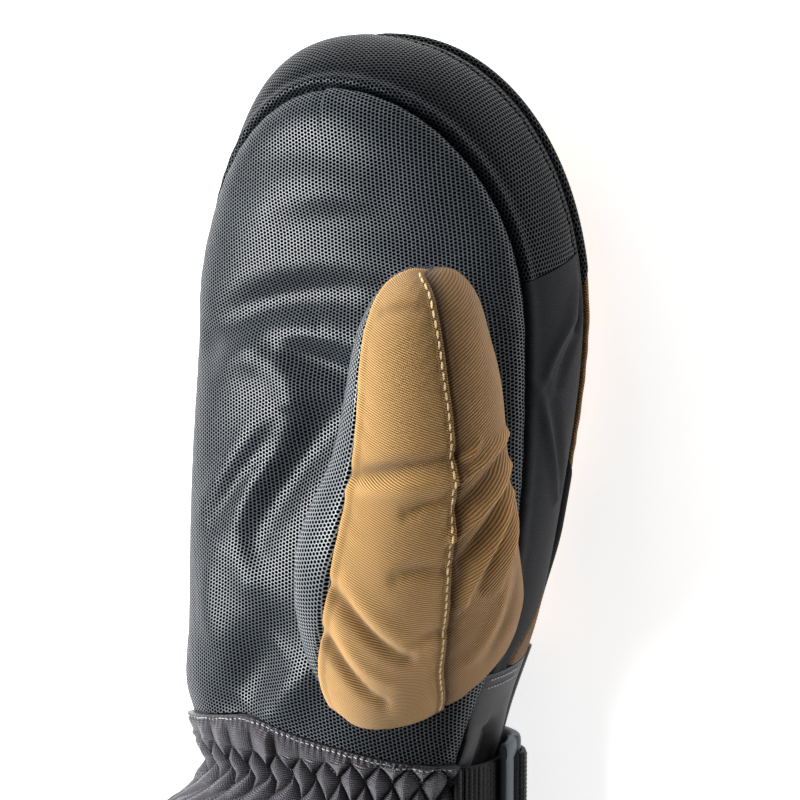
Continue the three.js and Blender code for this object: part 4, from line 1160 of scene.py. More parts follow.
def hand_hollow():
    """The space inside the hand: palm, side and back skins one wall in."""
    a, q = np.meshgrid(np.linspace(0, 3, 91), np.linspace(0, 3, 37), indexing="ij")
    down = np.clip(q - 1, 0, 1)
    palm_part = plate_skin("palm", a, np.clip(1 - q, 0, 1), HAND_WALL)
    side_part = gusset_skin(a, down, HAND_WALL, lerp(0, SIDE_FOOT["back"], down))
    back_part = plate_skin("back", a, np.clip(q - 2, 0, 1), HAND_WALL)
    points = np.where((q <= 1)[..., None], palm_part, np.where((q <= 2)[..., None], side_part, back_part))
    return closed_grid("hollow_cutter", to_frame(points))


hollow_cutter = hand_hollow()
for piece in thumb.values():
    cut(piece, hollow_cutter)
thumb_cutter = thumb_solid(-SEAM_GAP)
cut(palm, thumb_cutter)
cut(strips["index_side_cloth"], thumb_cutter)

# %% [markdown]
# ## The gathered wrist
#
# Rows of zigzag elastic stitching draw the grey cloth into staggered leaf-shaped puffs. Above the first
# row the cloth falls in pointed flaps from its top seam. The pattern repeats round the wrist, so one
# height function of two numbers draws every puff, and a fixed scatter keeps any two from being alike.

# %% Where each puff is
GATHER_FOOT = -30
PUFF_AT = 0.028
PUFF_PITCH = 0.0354
PUFF_ROW = 6.8
PUFF_FIRST = -2
PUFF_HEIGHT = 4.0
FLARE_FROM = -11
FLARE_LEAN = 0.095
ZIGZAG = {"k": [0, 0.66, 0.92, 2.0, 2.25, 3.3, 3.6, 4.6], "share": [0, 0.5, 0.5, 0, 0, 0.5, 0.5, 0]}


def puff_columns(p, s):
    """Which gather a point is on, round the wrist; low on the little-finger side they lean outwards."""
    lean = smooth((0.05 - p) / 0.12) * smooth((p + 0.24) / 0.06)
    return (p - PUFF_AT) / PUFF_PITCH + FLARE_LEAN * np.maximum(0, FLARE_FROM - s) * lean


def uneven(column_number, row_number):
    """A fixed, scattered number from -1 to 1 for each puff."""
    return np.mod(np.sin(column_number * 12.9898 + row_number * 78.233) * 43758.5453, 1) * 2 - 1


def ridge(across, reach, lean):
    """A sharp-topped puff; lean shifts its top sideways."""
    top = lean * reach
    before = (top - across) / np.maximum(reach + top, 1e-6)
    after = (across - top) / np.maximum(reach - top, 1e-6)
    part = np.where(across < top, before, after)
    return np.maximum(0, 1 - np.clip(part, 0, 1) ** 1.6) ** 0.8


# %% Height of the puffs and flaps
EDGE_STITCH_AT = 1.05
FLAP_END = 0.79
FLARE_START = 1.95


def leaves(across, between_across, share, chance, other_chance):
    """Leaf-shaped puffs on both sides of the zigzag stitch lines."""
    leaf = ridge(between_across, np.maximum(share, 0.02), 0.2 * other_chance - 0.05)
    leaf = leaf * (2 * share) ** 0.6
    low_leaf = ridge(across, np.maximum(0.5 - share, 0.02), 0.2 * chance - 0.05)
    low_leaf = low_leaf * np.abs(1 - 2 * share) ** 0.6
    inside = np.abs(between_across) < share
    return inside, np.where(inside, leaf * (0.92 + 0.14 * other_chance), low_leaf * (0.92 + 0.14 * chance))


def flaps(k, across, share, chance):
    """The cloth that hangs from the top seam and ends in a point under the first zigzag."""
    reach = np.maximum(0.5 - share, 0.02)
    lean = 0.4 * chance + 0.15
    hanging = 0.2 + 0.5 * (1 + 0.4 * chance) * ridge(across, 0.5, lean)
    pointed = (0.85 - 0.25 * smooth(k / FLAP_END)) * ridge(across, reach, lean) ** 0.8
    pointed = np.where(np.abs(across) < reach, pointed, 0)
    return np.where(k < 0, hanging, lerp(hanging, pointed, smooth(k / 0.14)))


def puff_height(p, s, top):
    """Puffs between zigzag stitch lines, under pointed flaps, with a flat stitched edge below the seam."""
    around = puff_columns(p, s)
    k = (PUFF_FIRST - s) / PUFF_ROW
    share = np.interp(k, ZIGZAG["k"], ZIGZAG["share"])
    number, between_number = np.round(around), np.round(around - 0.5)
    across, between_across = around - number, around - 0.5 - between_number
    chance = uneven(number, np.round(k / 2))
    other_chance = uneven(between_number + 0.5, np.floor(k / 2))
    inside, puffs = leaves(across, between_across, share, chance, other_chance)
    flap = flaps(k, across, share, chance)
    below = np.where(inside, puffs, 0)
    tugged = 0.2 + 0.06 * np.cos(2 * math.pi * around * 4.3 + 2 * chance)
    tugged = tugged + 0.5 * smooth((-0.13 - p) / 0.05)
    upper = lerp(tugged, flap, smooth((top - s) / 6))
    height = np.where(k < 0, upper, np.where(k < FLAP_END, np.maximum(flap, below), puffs))
    flare = smooth((0.03 - p) / 0.08) * smooth((k - FLARE_START) / 0.6)
    height = lerp(height, np.maximum(height, 0.9 * ridge(across, 0.5, -0.2)), flare)
    edge = smooth((top - s) / 0.45) * (1 - 0.22 * bump_at(top - s - EDGE_STITCH_AT, 0.45))
    return PUFF_HEIGHT * height * edge * smooth((PALM_SHARE - np.abs(p)) / 0.012)


# %% Gathered cloth
CUFF_WALL = 2.5
GATHER_GRID = (440, 120)


def gather_top(p):
    """The top seam of the gathers, just below the palm's wrist edge."""
    return column(WRIST_EDGE, "x", "s", section_point(p, np.zeros_like(p), 0)[0]) - 2 * SEAM_GAP


def gathered():
    u, v = grid(*GATHER_GRID)
    p = lerp(-PALM_SHARE, PALM_SHARE, u) * 0.994
    top = gather_top(p)
    s = lerp(top, GATHER_FOOT + SEAM_GAP / 2, v)
    height = puff_height(p, s, top)
    uv = uv_from_lengths(tube_skin(p, s, 0)) * MM
    # Painted shade between the puffs and painted highlights on their crests.
    wear = 0.08 + (height / PUFF_HEIGHT) ** 0.8
    outer, inner = tube_skin(p, s, 0, height), tube_skin(p, s, CUFF_WALL)
    return shell("gathered_cloth", to_frame(outer), to_frame(inner), uv, wear=wear)


gather = gathered()

# %% [markdown]
# ## The smooth wrist, the cuff and its binding
#
# Round the thumb's side and the back the wrist is smooth cloth with one deep dimple beside the strap.
# Below the strap the cuff flares, and the gathers run out in it as soft flutes. Its foot is bound with a
# narrow folded strip. All three are walks round the same tube, so they meet edge to edge.

# %% Smooth wrist
SIDE_FOOT_ROUNDS = 12
WRIST_ROUND = 210
WRIST_MARGIN = 0.0012
WRIST_FOLDS = [
    {"from": (53, 7), "mid": (54, 2), "to": (53, -5), "width": 2.0, "height": -4.4, "lean": 0.3},
    {"from": (47, 7), "mid": (48, 2), "to": (46, -5), "width": 3.0, "height": 2.2},
    {"from": (58, 14), "mid": (59, 5), "to": (60, -4), "width": 3.0, "height": 1.0},
    {"from": (80, 6), "mid": (96, 2), "to": (118, 5), "width": 4.0, "height": -1.2},
]


def side_foot(p, inset):
    """Where the side panels end, which is higher up the mitten towards the back."""
    s = np.full(np.shape(p), float(SIDE_FOOT["back"]))
    for _ in range(SIDE_FOOT_ROUNDS):
        z = section_point(p, s, inset)[1]
        down = (body("palm_z", s) - z) / (body("palm_z", s) - body("back_z", s))
        s = lerp(s, lerp(SIDE_FOOT["palm"], SIDE_FOOT["back"], np.clip(down, 0, 1)), 0.7)
    return s


def wrist_back_grid(inset):
    u, v = grid(336, 60)
    p = lerp(PALM_SHARE + WRIST_MARGIN, 1 - PALM_SHARE - WRIST_MARGIN, u)
    s = lerp(side_foot(p, inset) - SEAM_GAP * 1.5, GATHER_FOOT + SEAM_GAP / 2, v)
    return tube_skin(p, s, inset, 0.0 if inset > 0 else fold_height(WRIST_FOLDS, p * WRIST_ROUND, s))


wrist_back = sewn("smooth_wrist_cloth", wrist_back_grid(0), wrist_back_grid(CUFF_WALL))
cut(wrist_back, thumb_cutter)

# %% Cuff
FLUTE_COUNT = 12
FLUTE_HEIGHT = 2.6
FLUTE_FADE = 30


def cuff_grid(inset):
    u, v = grid(480, 96)
    s = lerp(GATHER_FOOT - SEAM_GAP / 2, CUFF_FOOT + SEAM_GAP / 2, v)
    fade = np.exp((s - GATHER_FOOT) / FLUTE_FADE) * smooth(v * 12)
    wave = 0.5 + 0.5 * np.cos(2 * math.pi * FLUTE_COUNT * u)
    lying = smooth(np.abs(u - 0.5) * 5)
    signed = np.mod(u + 0.5, 1) - 0.5
    around = puff_columns(signed, s)
    on_palm = smooth((PALM_SHARE - np.abs(signed)) / 0.03)
    flute = ridge(around - np.round(around), 0.5, -0.2) * smooth(v * 40)
    flute = flute * lerp(0.6, 0.85, smooth((0.03 - signed) / 0.08))
    height = lerp(FLUTE_HEIGHT * wave, PUFF_HEIGHT * flute, on_palm)
    return tube_skin(u, s, inset, 0.0 if inset > 0 else height * fade * lying)


ROUND = {"open_sides": ("start", "end"), "step": 2}
cuff = sewn("cuff_cloth", cuff_grid(0), cuff_grid(CUFF_WALL), **ROUND)

# %% Binding
HEM_WALL = 4
hem = sewn("cuff_binding", hem_grid(0, 288, 12), hem_grid(HEM_WALL, 288, 12), **ROUND)

# %% [markdown]
# ## Strap, buckle and tail
#
# Webbing is a flat woven ribbon, so it is laid straight along its path round the wrist, under the
# buckle's first bar, over the middle one and under the last. The path is the widest outline under the
# strap's width, because a taut strap bridges the hollows of the cloth.

# %% Strap path
STRAP = {"top": -3.5, "width": 22, "thick": 1.6, "lift": 0.7, "from": 0.205, "to": 0.66}
STRAP_LEVELS = [-0.15, 0, 0.3, 0.6, 0.9, 1.15]


def strap_path():
    """The widest outline under the strap, seen from the wrist's middle, as points at equal lengths."""
    level = STRAP["top"] - STRAP["width"] / 2
    index, pinky = width_at("palm", level, 0)
    centre = np.array([(index + pinky) / 2, (body("palm_z", level) + body("back_z", level)) / 2])

    def bearing(x, z):
        return np.arctan2(centre[1] - z, x - centre[0])

    ends = []
    for share in (STRAP["from"], STRAP["to"]):
        x, z = section_point(np.array(share), np.array(level), 0)
        ends.append(float(bearing(x, z)))
    angle = np.linspace(*ends, 801)
    far = np.zeros_like(angle)
    for k in STRAP_LEVELS:
        p = np.linspace(PALM_SHARE - 0.05, 1.05 - PALM_SHARE, 601)
        x, z = section_point(p, np.full_like(p, STRAP["top"] - k * STRAP["width"]), 0)
        reach = np.hypot(x - centre[0], z - centre[1])
        far = np.maximum(far, np.interp(angle, np.unwrap(bearing(x, z)), reach))
    x, z = centre[0] + far * np.cos(angle), centre[1] - far * np.sin(angle)
    long = np.concatenate([[0], np.cumsum(np.hypot(np.diff(x), np.diff(z)))])
    return x, z, long


PATH_X, PATH_Z, PATH_LONG = strap_path()
strap_length = PATH_LONG[-1]
print("the strap shows", round(float(strap_length)), "mm round the wrist")


def above_path(distance, height, s):
    """A point beside the path, at a distance along it and a height above it."""
    def ground(d):
        return np.interp(d, PATH_LONG, PATH_X), np.interp(d, PATH_LONG, PATH_Z)

    reach = 0.02 * strap_length
    x, z = ground(distance)
    ax, az = ground(distance - reach)
    bx, bz = ground(distance + reach)
    long = np.maximum(np.hypot(bx - ax, bz - az), 1e-9)
    place = x - (bz - az) / long * height, s, z + (bx - ax) / long * height
    return np.stack(np.broadcast_arrays(*place), -1)


# %% [markdown]
# The ribs of webbing run across it as columns of small knots. They are moved points too, because the
# light rakes along the strap in the photograph and a painted weave would look printed.

# %% Webbing
BUCKLE = {"length": 26, "rail": 5.5, "bar": 5.7, "thick": 3.2, "at": 0.32, "over": 5}
TAIL_LENGTH = 30
TAIL_GAP = 1.1
WEB_STEP = 0.3
RIB_PITCH = 1.6
KNOT_PITCH = 1.3
RIB_HEIGHT = 0.5
buckle_at = (BUCKLE["at"] - STRAP["from"]) / (STRAP["to"] - STRAP["from"]) * strap_length
buckle_low = STRAP["lift"] + STRAP["thick"] + 0.4
slot_width = (BUCKLE["length"] - BUCKLE["bar"] * 3) / 2


def strap_height(distance):
    off = np.abs(distance - buckle_at) - BUCKLE["bar"] / 2 - 1
    over = 1 - smooth(off / (slot_width - 1.8))
    return lerp(STRAP["lift"], buckle_low + BUCKLE["thick"] + 0.3, over)


def tail_height(distance):
    return np.full(np.shape(distance), buckle_low)


def webbing(name, start, end, height, thick, in_side):
    """A woven ribbon: columns of small knots that run across it, staggered from column to column."""
    nu, nv = int((end - start) / WEB_STEP), int((STRAP["width"] - 2 * in_side) / WEB_STEP)
    u, v = grid(nu, nv)
    distance = lerp(start, end, u)
    s = lerp(STRAP["top"] - in_side, STRAP["top"] - STRAP["width"] + in_side, v)
    rib_number = distance / RIB_PITCH
    knot = np.abs(np.sin(math.pi * ((STRAP["top"] - s) / KNOT_PITCH + 0.5 * np.floor(rib_number))))
    rib = np.abs(np.sin(math.pi * rib_number)) ** 0.7
    edge = smooth(v * nv / 3) * smooth((1 - v) * nv / 3)
    relief = RIB_HEIGHT * rib * (0.45 + 0.55 * knot) * edge - RIB_HEIGHT
    low = height(distance)
    outer, inner = above_path(distance, low + thick + relief, s), above_path(distance, low, s)
    # Painted highlights on the knots, painted shade between them and at the edges.
    return sewn(name, outer, inner, step=3, wear=0.15 + 0.7 * rib * knot * edge)


strap = webbing("strap_webbing", 0, strap_length, strap_height, STRAP["thick"], 0)
tail_from = buckle_at + BUCKLE["length"] / 2 + TAIL_GAP
tail_ends = tail_from, tail_from + TAIL_LENGTH
tail = webbing("tail_webbing", *tail_ends, tail_height, STRAP["thick"] * 2, 0.6)

# %% [markdown]
# The buckle is a moulded three-bar slide. Five rounded bars are joined into one body, as the mould does;
# beveled boxes would show a seam where they cross.

# %% Buckle
def rounded_bar(name, start, end, half_wide, half_high, around=24, along=40):
    """A bar with rounded edges between two places beside the path: distance, height and s."""
    along_path = start[0] != end[0]
    u, v = grid(around, along)
    angle = 2 * math.pi * u
    end_shape = np.sqrt(np.maximum(0, 1 - np.abs(2 * v - 1) ** (along * 0.7)))
    wide = half_wide * end_shape * power(np.cos(angle), 0.6)
    high = half_high * end_shape * power(np.sin(angle), 0.6)
    distance, height, s = (lerp(start[k], end[k], v) for k in range(3))
    distance = distance + (0 if along_path else wide)
    points = above_path(distance, height + high, s + (wide if along_path else 0))
    return closed_grid(name, to_frame(points[:-1]))


def buckle():
    level = STRAP["top"] - STRAP["width"] / 2
    high = buckle_low + BUCKLE["thick"] / 2
    rail_at = STRAP["width"] / 2 + BUCKLE["over"] - BUCKLE["rail"] / 2
    reach = BUCKLE["length"] / 2
    bars = []
    for s in (level - rail_at, level + rail_at):
        ends = (buckle_at - reach, high, s), (buckle_at + reach, high, s)
        bars.append(rounded_bar("rail", *ends, BUCKLE["rail"] / 2, BUCKLE["thick"] / 2))
    for place in (-1, 0, 1):
        distance = buckle_at + place * (reach - BUCKLE["bar"] / 2 - 0.5)
        ends = (distance, high, level - rail_at), (distance, high, level + rail_at)
        bars.append(rounded_bar("bar", *ends, BUCKLE["bar"] / 2, BUCKLE["thick"] / 2 - 0.15))
    whole = bars[0]
    for bar in bars[1:]:
        work = whole.modifiers.new("join", "BOOLEAN")
        work.operation = "UNION"
        work.solver = "MANIFOLD"
        work.object = bar
    bpy.context.view_layer.update()
    mesh = bpy.data.meshes.new_from_object(whole.evaluated_get(bpy.context.evaluated_depsgraph_get()))
    for bar in bars:
        bpy.data.objects.remove(bar)
    mesh.name = "slide_buckle"
    finish_shading(mesh, 40)
    return link("slide_buckle", mesh)


slide = buckle()

# %% [markdown]
# ## Stitches
#
# Thread is thick enough to catch the light, so each stitch is a real little bead of mesh, half sunk in
# the cloth. A line of bump would vanish at this distance. One helper lays them along any line on the
# mitten: the thumb's lapped seam, the edge of the gathers, the zigzag, the tacks and the hem.

# %% Stitch maker
BEAD_AT = [-1, -0.85, -0.4, 0.4, 0.85, 1]
BEAD_WIDE = [0.25, 0.78, 1, 1, 0.78, 0.25]
BEAD_SIDES = 6
THREADS = {
    "thumb": {"pitch": 2.8, "long": 2.25, "radius": 0.31, "slant": 0.1},
    "edge": {"pitch": 1.9, "long": 1.25, "radius": 0.19, "slant": 0.12},
    "zigzag": {"pitch": 1.35, "long": 0.85, "radius": 0.17},
    "tack": {"pitch": 1.2, "long": 0.9, "radius": 0.2},
    "hem": {"pitch": 3.0, "long": 2.0, "radius": 0.25},
}


def bead_points(centre, tangent, side, normal, long, radius):
    """The points of every bead: a few rings along it, narrow at both ends."""
    points = []
    for x, wide in zip(BEAD_AT, BEAD_WIDE):
        for angle in np.arange(BEAD_SIDES) * 2 * math.pi / BEAD_SIDES:
            flat = tangent * x * long / 2 + side * radius * wide * math.cos(angle)
            points.append(centre + (flat + normal * radius * (0.5 + wide * math.sin(angle))) * MM)
    return np.stack(points, 1)


def bead_faces(count):
    faces = []
    ring = len(BEAD_AT) * BEAD_SIDES
    for first in range(0, count * ring, ring):
        for i in range(len(BEAD_AT) - 1):
            low, high = first + i * BEAD_SIDES, first + (i + 1) * BEAD_SIDES
            for j in range(BEAD_SIDES):
                n = (j + 1) % BEAD_SIDES
                faces.append((low + j, low + n, high + n, high + j))
        faces.append(tuple(first + j for j in reversed(range(BEAD_SIDES))))
        faces.append(tuple(first + ring - BEAD_SIDES + j for j in range(BEAD_SIDES)))
    return faces


def sew(name, path, away, pitch, long, radius, curl=True, slant=0.0):
    """Beads of thread along a line of pattern points; away points out of the cloth at each of them."""
    away = to_frame(path + away * 0.01, curl) - to_frame(path, curl)
    path = to_frame(path, curl)
    distance = np.concatenate([[0], np.cumsum(np.linalg.norm(np.diff(path, axis=0), axis=1))])
    places = np.arange(pitch / 2, distance[-1] / MM, pitch) * MM

    def at(values, where):
        return np.stack([np.interp(where, distance, values[:, k]) for k in range(3)], -1)

    centre, normal = at(path, places), at(away, places)
    tangent = at(path, places + 0.3 * MM) - at(path, places - 0.3 * MM)
    tangent /= np.linalg.norm(tangent, axis=1, keepdims=True)
    normal -= tangent * (normal * tangent).sum(1, keepdims=True)
    normal /= np.linalg.norm(normal, axis=1, keepdims=True)
    side = np.cross(tangent, normal)
    tangent = tangent + side * slant
    points = bead_points(centre, tangent, side, normal, long, radius)
    mesh = bpy.data.meshes.new(name)
    mesh.from_pydata(points.reshape(-1, 3).tolist(), [], bead_faces(len(centre)))
    mesh.uv_layers.new(name="cloth")
    mesh.shade_smooth()
    print(name, "has", len(centre), "stitches")
    return link(name, mesh)


# %% Stitches of the thumb
thumb_line, thumb_away = THREAD_PATHS["thumb"]
shown = slice(9, len(thumb_line) - 8)
thumb_seam = thumb_line[shown], thumb_away[shown]
thumb_stitches = sew("thumb_stitches", *thumb_seam, **THREADS["thumb"], curl=False)

# %% Stitches of the wrist and the hem
EDGE_LINE = {"reach": 0.205, "waver": 0.15, "waves": 190}
ZIGZAG_LINE = {"reach": 0.2, "high": 0.05, "low": 0.7, "lift": 0.75}
TACK_LINE = {"from": 0.228, "to": 0.272, "first": 2.4, "apart": 2.6}
HEM_LINE = {"below_cuff": 1.2, "lift": 0.45}


def on_gathers(p, s, lift):
    """Points on the wrist's gathered cloth, with the way out of it."""
    low, high = tube_skin(p, s, 0, lift), tube_skin(p, s, 0, lift + 1)
    return low, high - low


def edge_line():
    """A line just under the gathers' top seam, never quite straight."""
    p = np.linspace(-EDGE_LINE["reach"], EDGE_LINE["reach"], 600)
    top = gather_top(p)
    s = top - EDGE_STITCH_AT - EDGE_LINE["waver"] * np.sin(p * EDGE_LINE["waves"])
    return on_gathers(p, s, puff_height(p, s, top))


def zigzag_line():
    """A zigzag between two levels of the gathers, one peak for each puff."""
    p = np.linspace(-ZIGZAG_LINE["reach"], ZIGZAG_LINE["reach"], 900)
    around = (p - PUFF_AT) / PUFF_PITCH
    low = 1 - 2 * np.abs(around - np.round(around))
    k = lerp(ZIGZAG_LINE["high"], ZIGZAG_LINE["low"], low)
    return on_gathers(p, PUFF_FIRST - PUFF_ROW * k - 0.35, ZIGZAG_LINE["lift"])


def tack_line(number):
    """Two short rows that hold the wrist's seam beside the gathers."""
    p = np.linspace(TACK_LINE["from"], TACK_LINE["to"], 60)
    return on_gathers(p, side_foot(p, 0) - TACK_LINE["first"] - TACK_LINE["apart"] * number, 0.25)


def hem_line():
    p = np.linspace(0, 1, 1200)
    return on_gathers(p, np.full_like(p, CUFF_FOOT - HEM_LINE["below_cuff"]), HEM_LINE["lift"])


edge_stitches = sew("edge_stitches", *edge_line(), **THREADS["edge"])
first_zigzag = sew("first_zigzag_stitches", *zigzag_line(), **THREADS["zigzag"])
tacks = [sew(f"tack_{number}_stitches", *tack_line(number), **THREADS["tack"]) for number in range(2)]
hem_stitches = sew("hem_stitches", *hem_line(), **THREADS["hem"])
for cutter in (hollow_cutter, thumb_cutter):
    bpy.data.objects.remove(cutter)

# %% [markdown]
# ## Finishes
#
# Every finish is procedural and reads its pattern in metres from the cloth coordinates, so a thread has
# its true size on any panel. A picture of cloth would stretch and repeat. Small helpers keep the node
# trees short.

# %% Node helpers
def new_group(name, inputs, outputs):
    """A shader node group with named sockets."""
    group = bpy.data.node_groups.new(name, "ShaderNodeTree")
    for socket, kind, value in inputs:
        made = group.interface.new_socket(socket, in_out="INPUT", socket_type=kind)
        if value is not None:
            made.default_value = value
    for socket, kind in outputs:
        group.interface.new_socket(socket, in_out="OUTPUT", socket_type=kind)
    return group, group.nodes.new("NodeGroupInput"), group.nodes.new("NodeGroupOutput")


def maths(tree, operation, *values):
    """One Math node; a value is a number or another node's output."""
    node = tree.nodes.new("ShaderNodeMath")
    node.operation = operation
    for socket, value in zip(node.inputs, values):
        if isinstance(value, (int, float)):
            socket.default_value = value
        else:
            tree.links.new(value, socket)
    return node.outputs[0]


def between(tree, value, low, high):
    """A value re-read as 0 at low and 1 at high, with soft ends."""
    node = tree.nodes.new("ShaderNodeMapRange")
    node.interpolation_type = "SMOOTHSTEP"
    node.inputs["From Min"].default_value = low
    node.inputs["From Max"].default_value = high
    tree.links.new(value, node.inputs["Value"])
    return node.outputs["Result"]


def blend_colours(tree, amount, first, second):
    node = tree.nodes.new("ShaderNodeMix")
    node.data_type = "RGBA"
    for name, value in (("Factor", amount), ("A", first), ("B", second)):
        socket = node.inputs[name]
        if isinstance(value, (int, float, tuple)):
            socket.default_value = value
        else:
            tree.links.new(value, socket)
    return node.outputs["Result"]


def colour(hex_code):
    """A colour code as seen on screen, as the linear values that Blender mixes."""
    parts = [int(hex_code[i:i + 2], 16) / 255 for i in (1, 3, 5)]
    return tuple(v / 12.92 if v <= 0.04045 else ((v + 0.055) / 1.055) ** 2.4 for v in parts) + (1.0,)


def turned(tree, cloth, turn):
    """The cloth's two coordinates, turned by an angle."""
    split = tree.nodes.new("ShaderNodeSeparateXYZ")
    tree.links.new(cloth, split.inputs[0])
    x, y = split.outputs["X"], split.outputs["Y"]
    sine, cosine = maths(tree, "SINE", turn), maths(tree, "COSINE", turn)
    turned_x = maths(tree, "ADD", maths(tree, "MULTIPLY", x, cosine), maths(tree, "MULTIPLY", y, sine))
    turned_y = maths(tree, "SUBTRACT", maths(tree, "MULTIPLY", y, cosine), maths(tree, "MULTIPLY", x, sine))
    return turned_x, turned_y


# %% [markdown]
# The hand and the inside of the thumb are a coated cloth with a net of small hollows in staggered
# columns. Two grids of oval cells, one half a step off the other, give the stagger with simple maths, and
# their nearer centre tells net from hollow.

# %% Net of hollows
def make_net_group():
    """Staggered oval hollows in a coated net: a mask that is 1 on the net and a height."""
    group, given, result = new_group("coated net", [
        ("Cloth", "NodeSocketVector", None),
        ("Across", "NodeSocketFloat", 0.00244),
        ("Along", "NodeSocketFloat", 0.00116),
        ("Wide", "NodeSocketFloat", 0.00057),
        ("Tall", "NodeSocketFloat", 0.00046),
        ("Turn", "NodeSocketFloat", 0.09),
    ], [("Net", "NodeSocketFloat"), ("Height", "NodeSocketFloat")])
    x, y = turned(group, given.outputs["Cloth"], given.outputs["Turn"])
    nearest = None
    for offset in (0.0, 0.5):
        parts = []
        for place, pitch, size in ((x, "Across", "Wide"), (y, "Along", "Tall")):
            step = maths(group, "DIVIDE", place, given.outputs[pitch])
            cell = maths(group, "FRACT", maths(group, "ADD", step, offset))
            away = maths(group, "MULTIPLY", maths(group, "SUBTRACT", cell, 0.5), given.outputs[pitch])
            part = maths(group, "DIVIDE", away, given.outputs[size])
            parts.append(maths(group, "MULTIPLY", part, part))
        far = maths(group, "SQRT", maths(group, "ADD", *parts))
        nearest = far if nearest is None else maths(group, "MINIMUM", nearest, far)
    net = between(group, nearest, 0.84, 1.14)
    group.links.new(net, result.inputs["Net"])
    group.links.new(net, result.inputs["Height"])
    return group


NET = make_net_group()

# %% [markdown]
# Twill and ribbed cloth both show fine slanted ribs that are broken a little by each thread. Two crossed
# waves are enough at this distance, and the same group serves every woven cloth with its own pitch and
# slant.

# %% Fine ribs
RIB_SHARE = 0.82


def wave(tree, place, pitch):
    """A wave between 0 and 1 with a pitch in metres."""
    turns = maths(tree, "MULTIPLY", maths(tree, "DIVIDE", place, pitch), 2 * math.pi)
    return maths(tree, "MULTIPLY_ADD", maths(tree, "SINE", turns), 0.5, 0.5)


def make_rib_group():
    """Fine slanted ribs, as twill and corded cloth have, broken up a little along each thread."""
    group, given, result = new_group("fine ribs", [
        ("Cloth", "NodeSocketVector", None),
        ("Pitch", "NodeSocketFloat", 0.0006),
        ("Slant", "NodeSocketFloat", 0.5),
        ("Thread", "NodeSocketFloat", 0.0004),
    ], [("Rib", "NodeSocketFloat"), ("Height", "NodeSocketFloat")])
    slant = maths(group, "MULTIPLY", given.outputs["Slant"], -1.0)
    across, along = turned(group, given.outputs["Cloth"], slant)
    rib = wave(group, along, given.outputs["Pitch"])
    thread = maths(group, "MULTIPLY", wave(group, across, given.outputs["Thread"]), 1 - RIB_SHARE)
    mixed = maths(group, "ADD", maths(group, "MULTIPLY", rib, RIB_SHARE), thread)
    group.links.new(rib, result.inputs["Rib"])
    group.links.new(mixed, result.inputs["Height"])
    return group


RIBS = make_rib_group()

# %% [markdown]
# No cloth is one even colour. A slow cloud and a fine fibre noise in the piece's own space are shared by
# all the finishes. A layer laid on each panel makes the colour darker in creases and lighter on crests:
# that is painted shade and painted highlight.

# %% Uneven tone
def make_uneven_group():
    """Slow and quick changes of tone over cloth, from points in the object's own space."""
    group, given, result = new_group("uneven tone", [
        ("Large", "NodeSocketFloat", 30.0),
        ("Small", "NodeSocketFloat", 900.0),
    ], [("Cloud", "NodeSocketFloat"), ("Fibre", "NodeSocketFloat")])
    place = group.nodes.new("ShaderNodeTexCoord")
    for socket, detail, name in (("Large", 3, "Cloud"), ("Small", 2, "Fibre")):
        noise = group.nodes.new("ShaderNodeTexNoise")
        noise.inputs["Detail"].default_value = detail
        group.links.new(place.outputs["Object"], noise.inputs["Vector"])
        group.links.new(given.outputs[socket], noise.inputs["Scale"])
        group.links.new(noise.outputs["Fac"], result.inputs[name])
    return group


UNEVEN = make_uneven_group()


# %% Painted shading and new materials
def add_group(tree, group, **values):
    node = tree.nodes.new("ShaderNodeGroup")
    node.node_tree = group
    for name, value in values.items():
        if isinstance(value, (int, float)):
            node.inputs[name].default_value = value
        else:
            tree.links.new(value, node.inputs[name])
    return node


def paint_shading(tree, tone, low, high):
    """A colour with painted shade in creases and painted highlights on crests, from the layer laid on each
    panel.
    """
    place = tree.nodes.new("ShaderNodeUVMap")
    place.uv_map = "wear"
    split = tree.nodes.new("ShaderNodeSeparateXYZ")
    tree.links.new(place.outputs["UV"], split.inputs[0])
    strength = tree.nodes.new("ShaderNodeMapRange")
    strength.inputs["To Min"].default_value = low
    strength.inputs["To Max"].default_value = high
    tree.links.new(split.outputs["X"], strength.inputs["Value"])
    scaled = tree.nodes.new("ShaderNodeVectorMath")
    scaled.operation = "SCALE"
    tree.links.new(tone, scaled.inputs[0])
    tree.links.new(strength.outputs["Result"], scaled.inputs["Scale"])
    return scaled.outputs["Vector"]


def new_finish(name, rough, specular=0.5, sheen=0.0):
    material = bpy.data.materials.new(name)
    material.use_nodes = True
    shader = material.node_tree.nodes["Principled BSDF"]
    shader.inputs["Roughness"].default_value = rough
    shader.inputs["Specular IOR Level"].default_value = specular
    shader.inputs["Sheen Weight"].default_value = sheen
    place = material.node_tree.nodes.new("ShaderNodeUVMap")
    place.uv_map = "cloth"
    return material, material.node_tree, shader, place.outputs["UV"]


def add_bump(tree, shader, height, distance, strength=1.0):
    bump = tree.nodes.new("ShaderNodeBump")
    bump.inputs["Distance"].default_value = distance
    bump.inputs["Strength"].default_value = strength
    tree.links.new(height, bump.inputs["Height"])
    tree.links.new(bump.outputs["Normal"], shader.inputs["Normal"])


# %% [markdown]
# On the real cloth the coated net is glossy and its hollows are dull, so the mitten looks lighter where
# it faces a lamp. Roughness, colour and relief all follow the one mask. The hollows are made metallic and
# nearly black, because a dark plain surface would still shine at a low angle.

# %% Coated net finish
NET_ROUGHNESS = {"hollow": 0.9, "drop": 0.56}
NET_DEPTH = 0.00022
HOLLOW_COLOUR = colour("#060910")


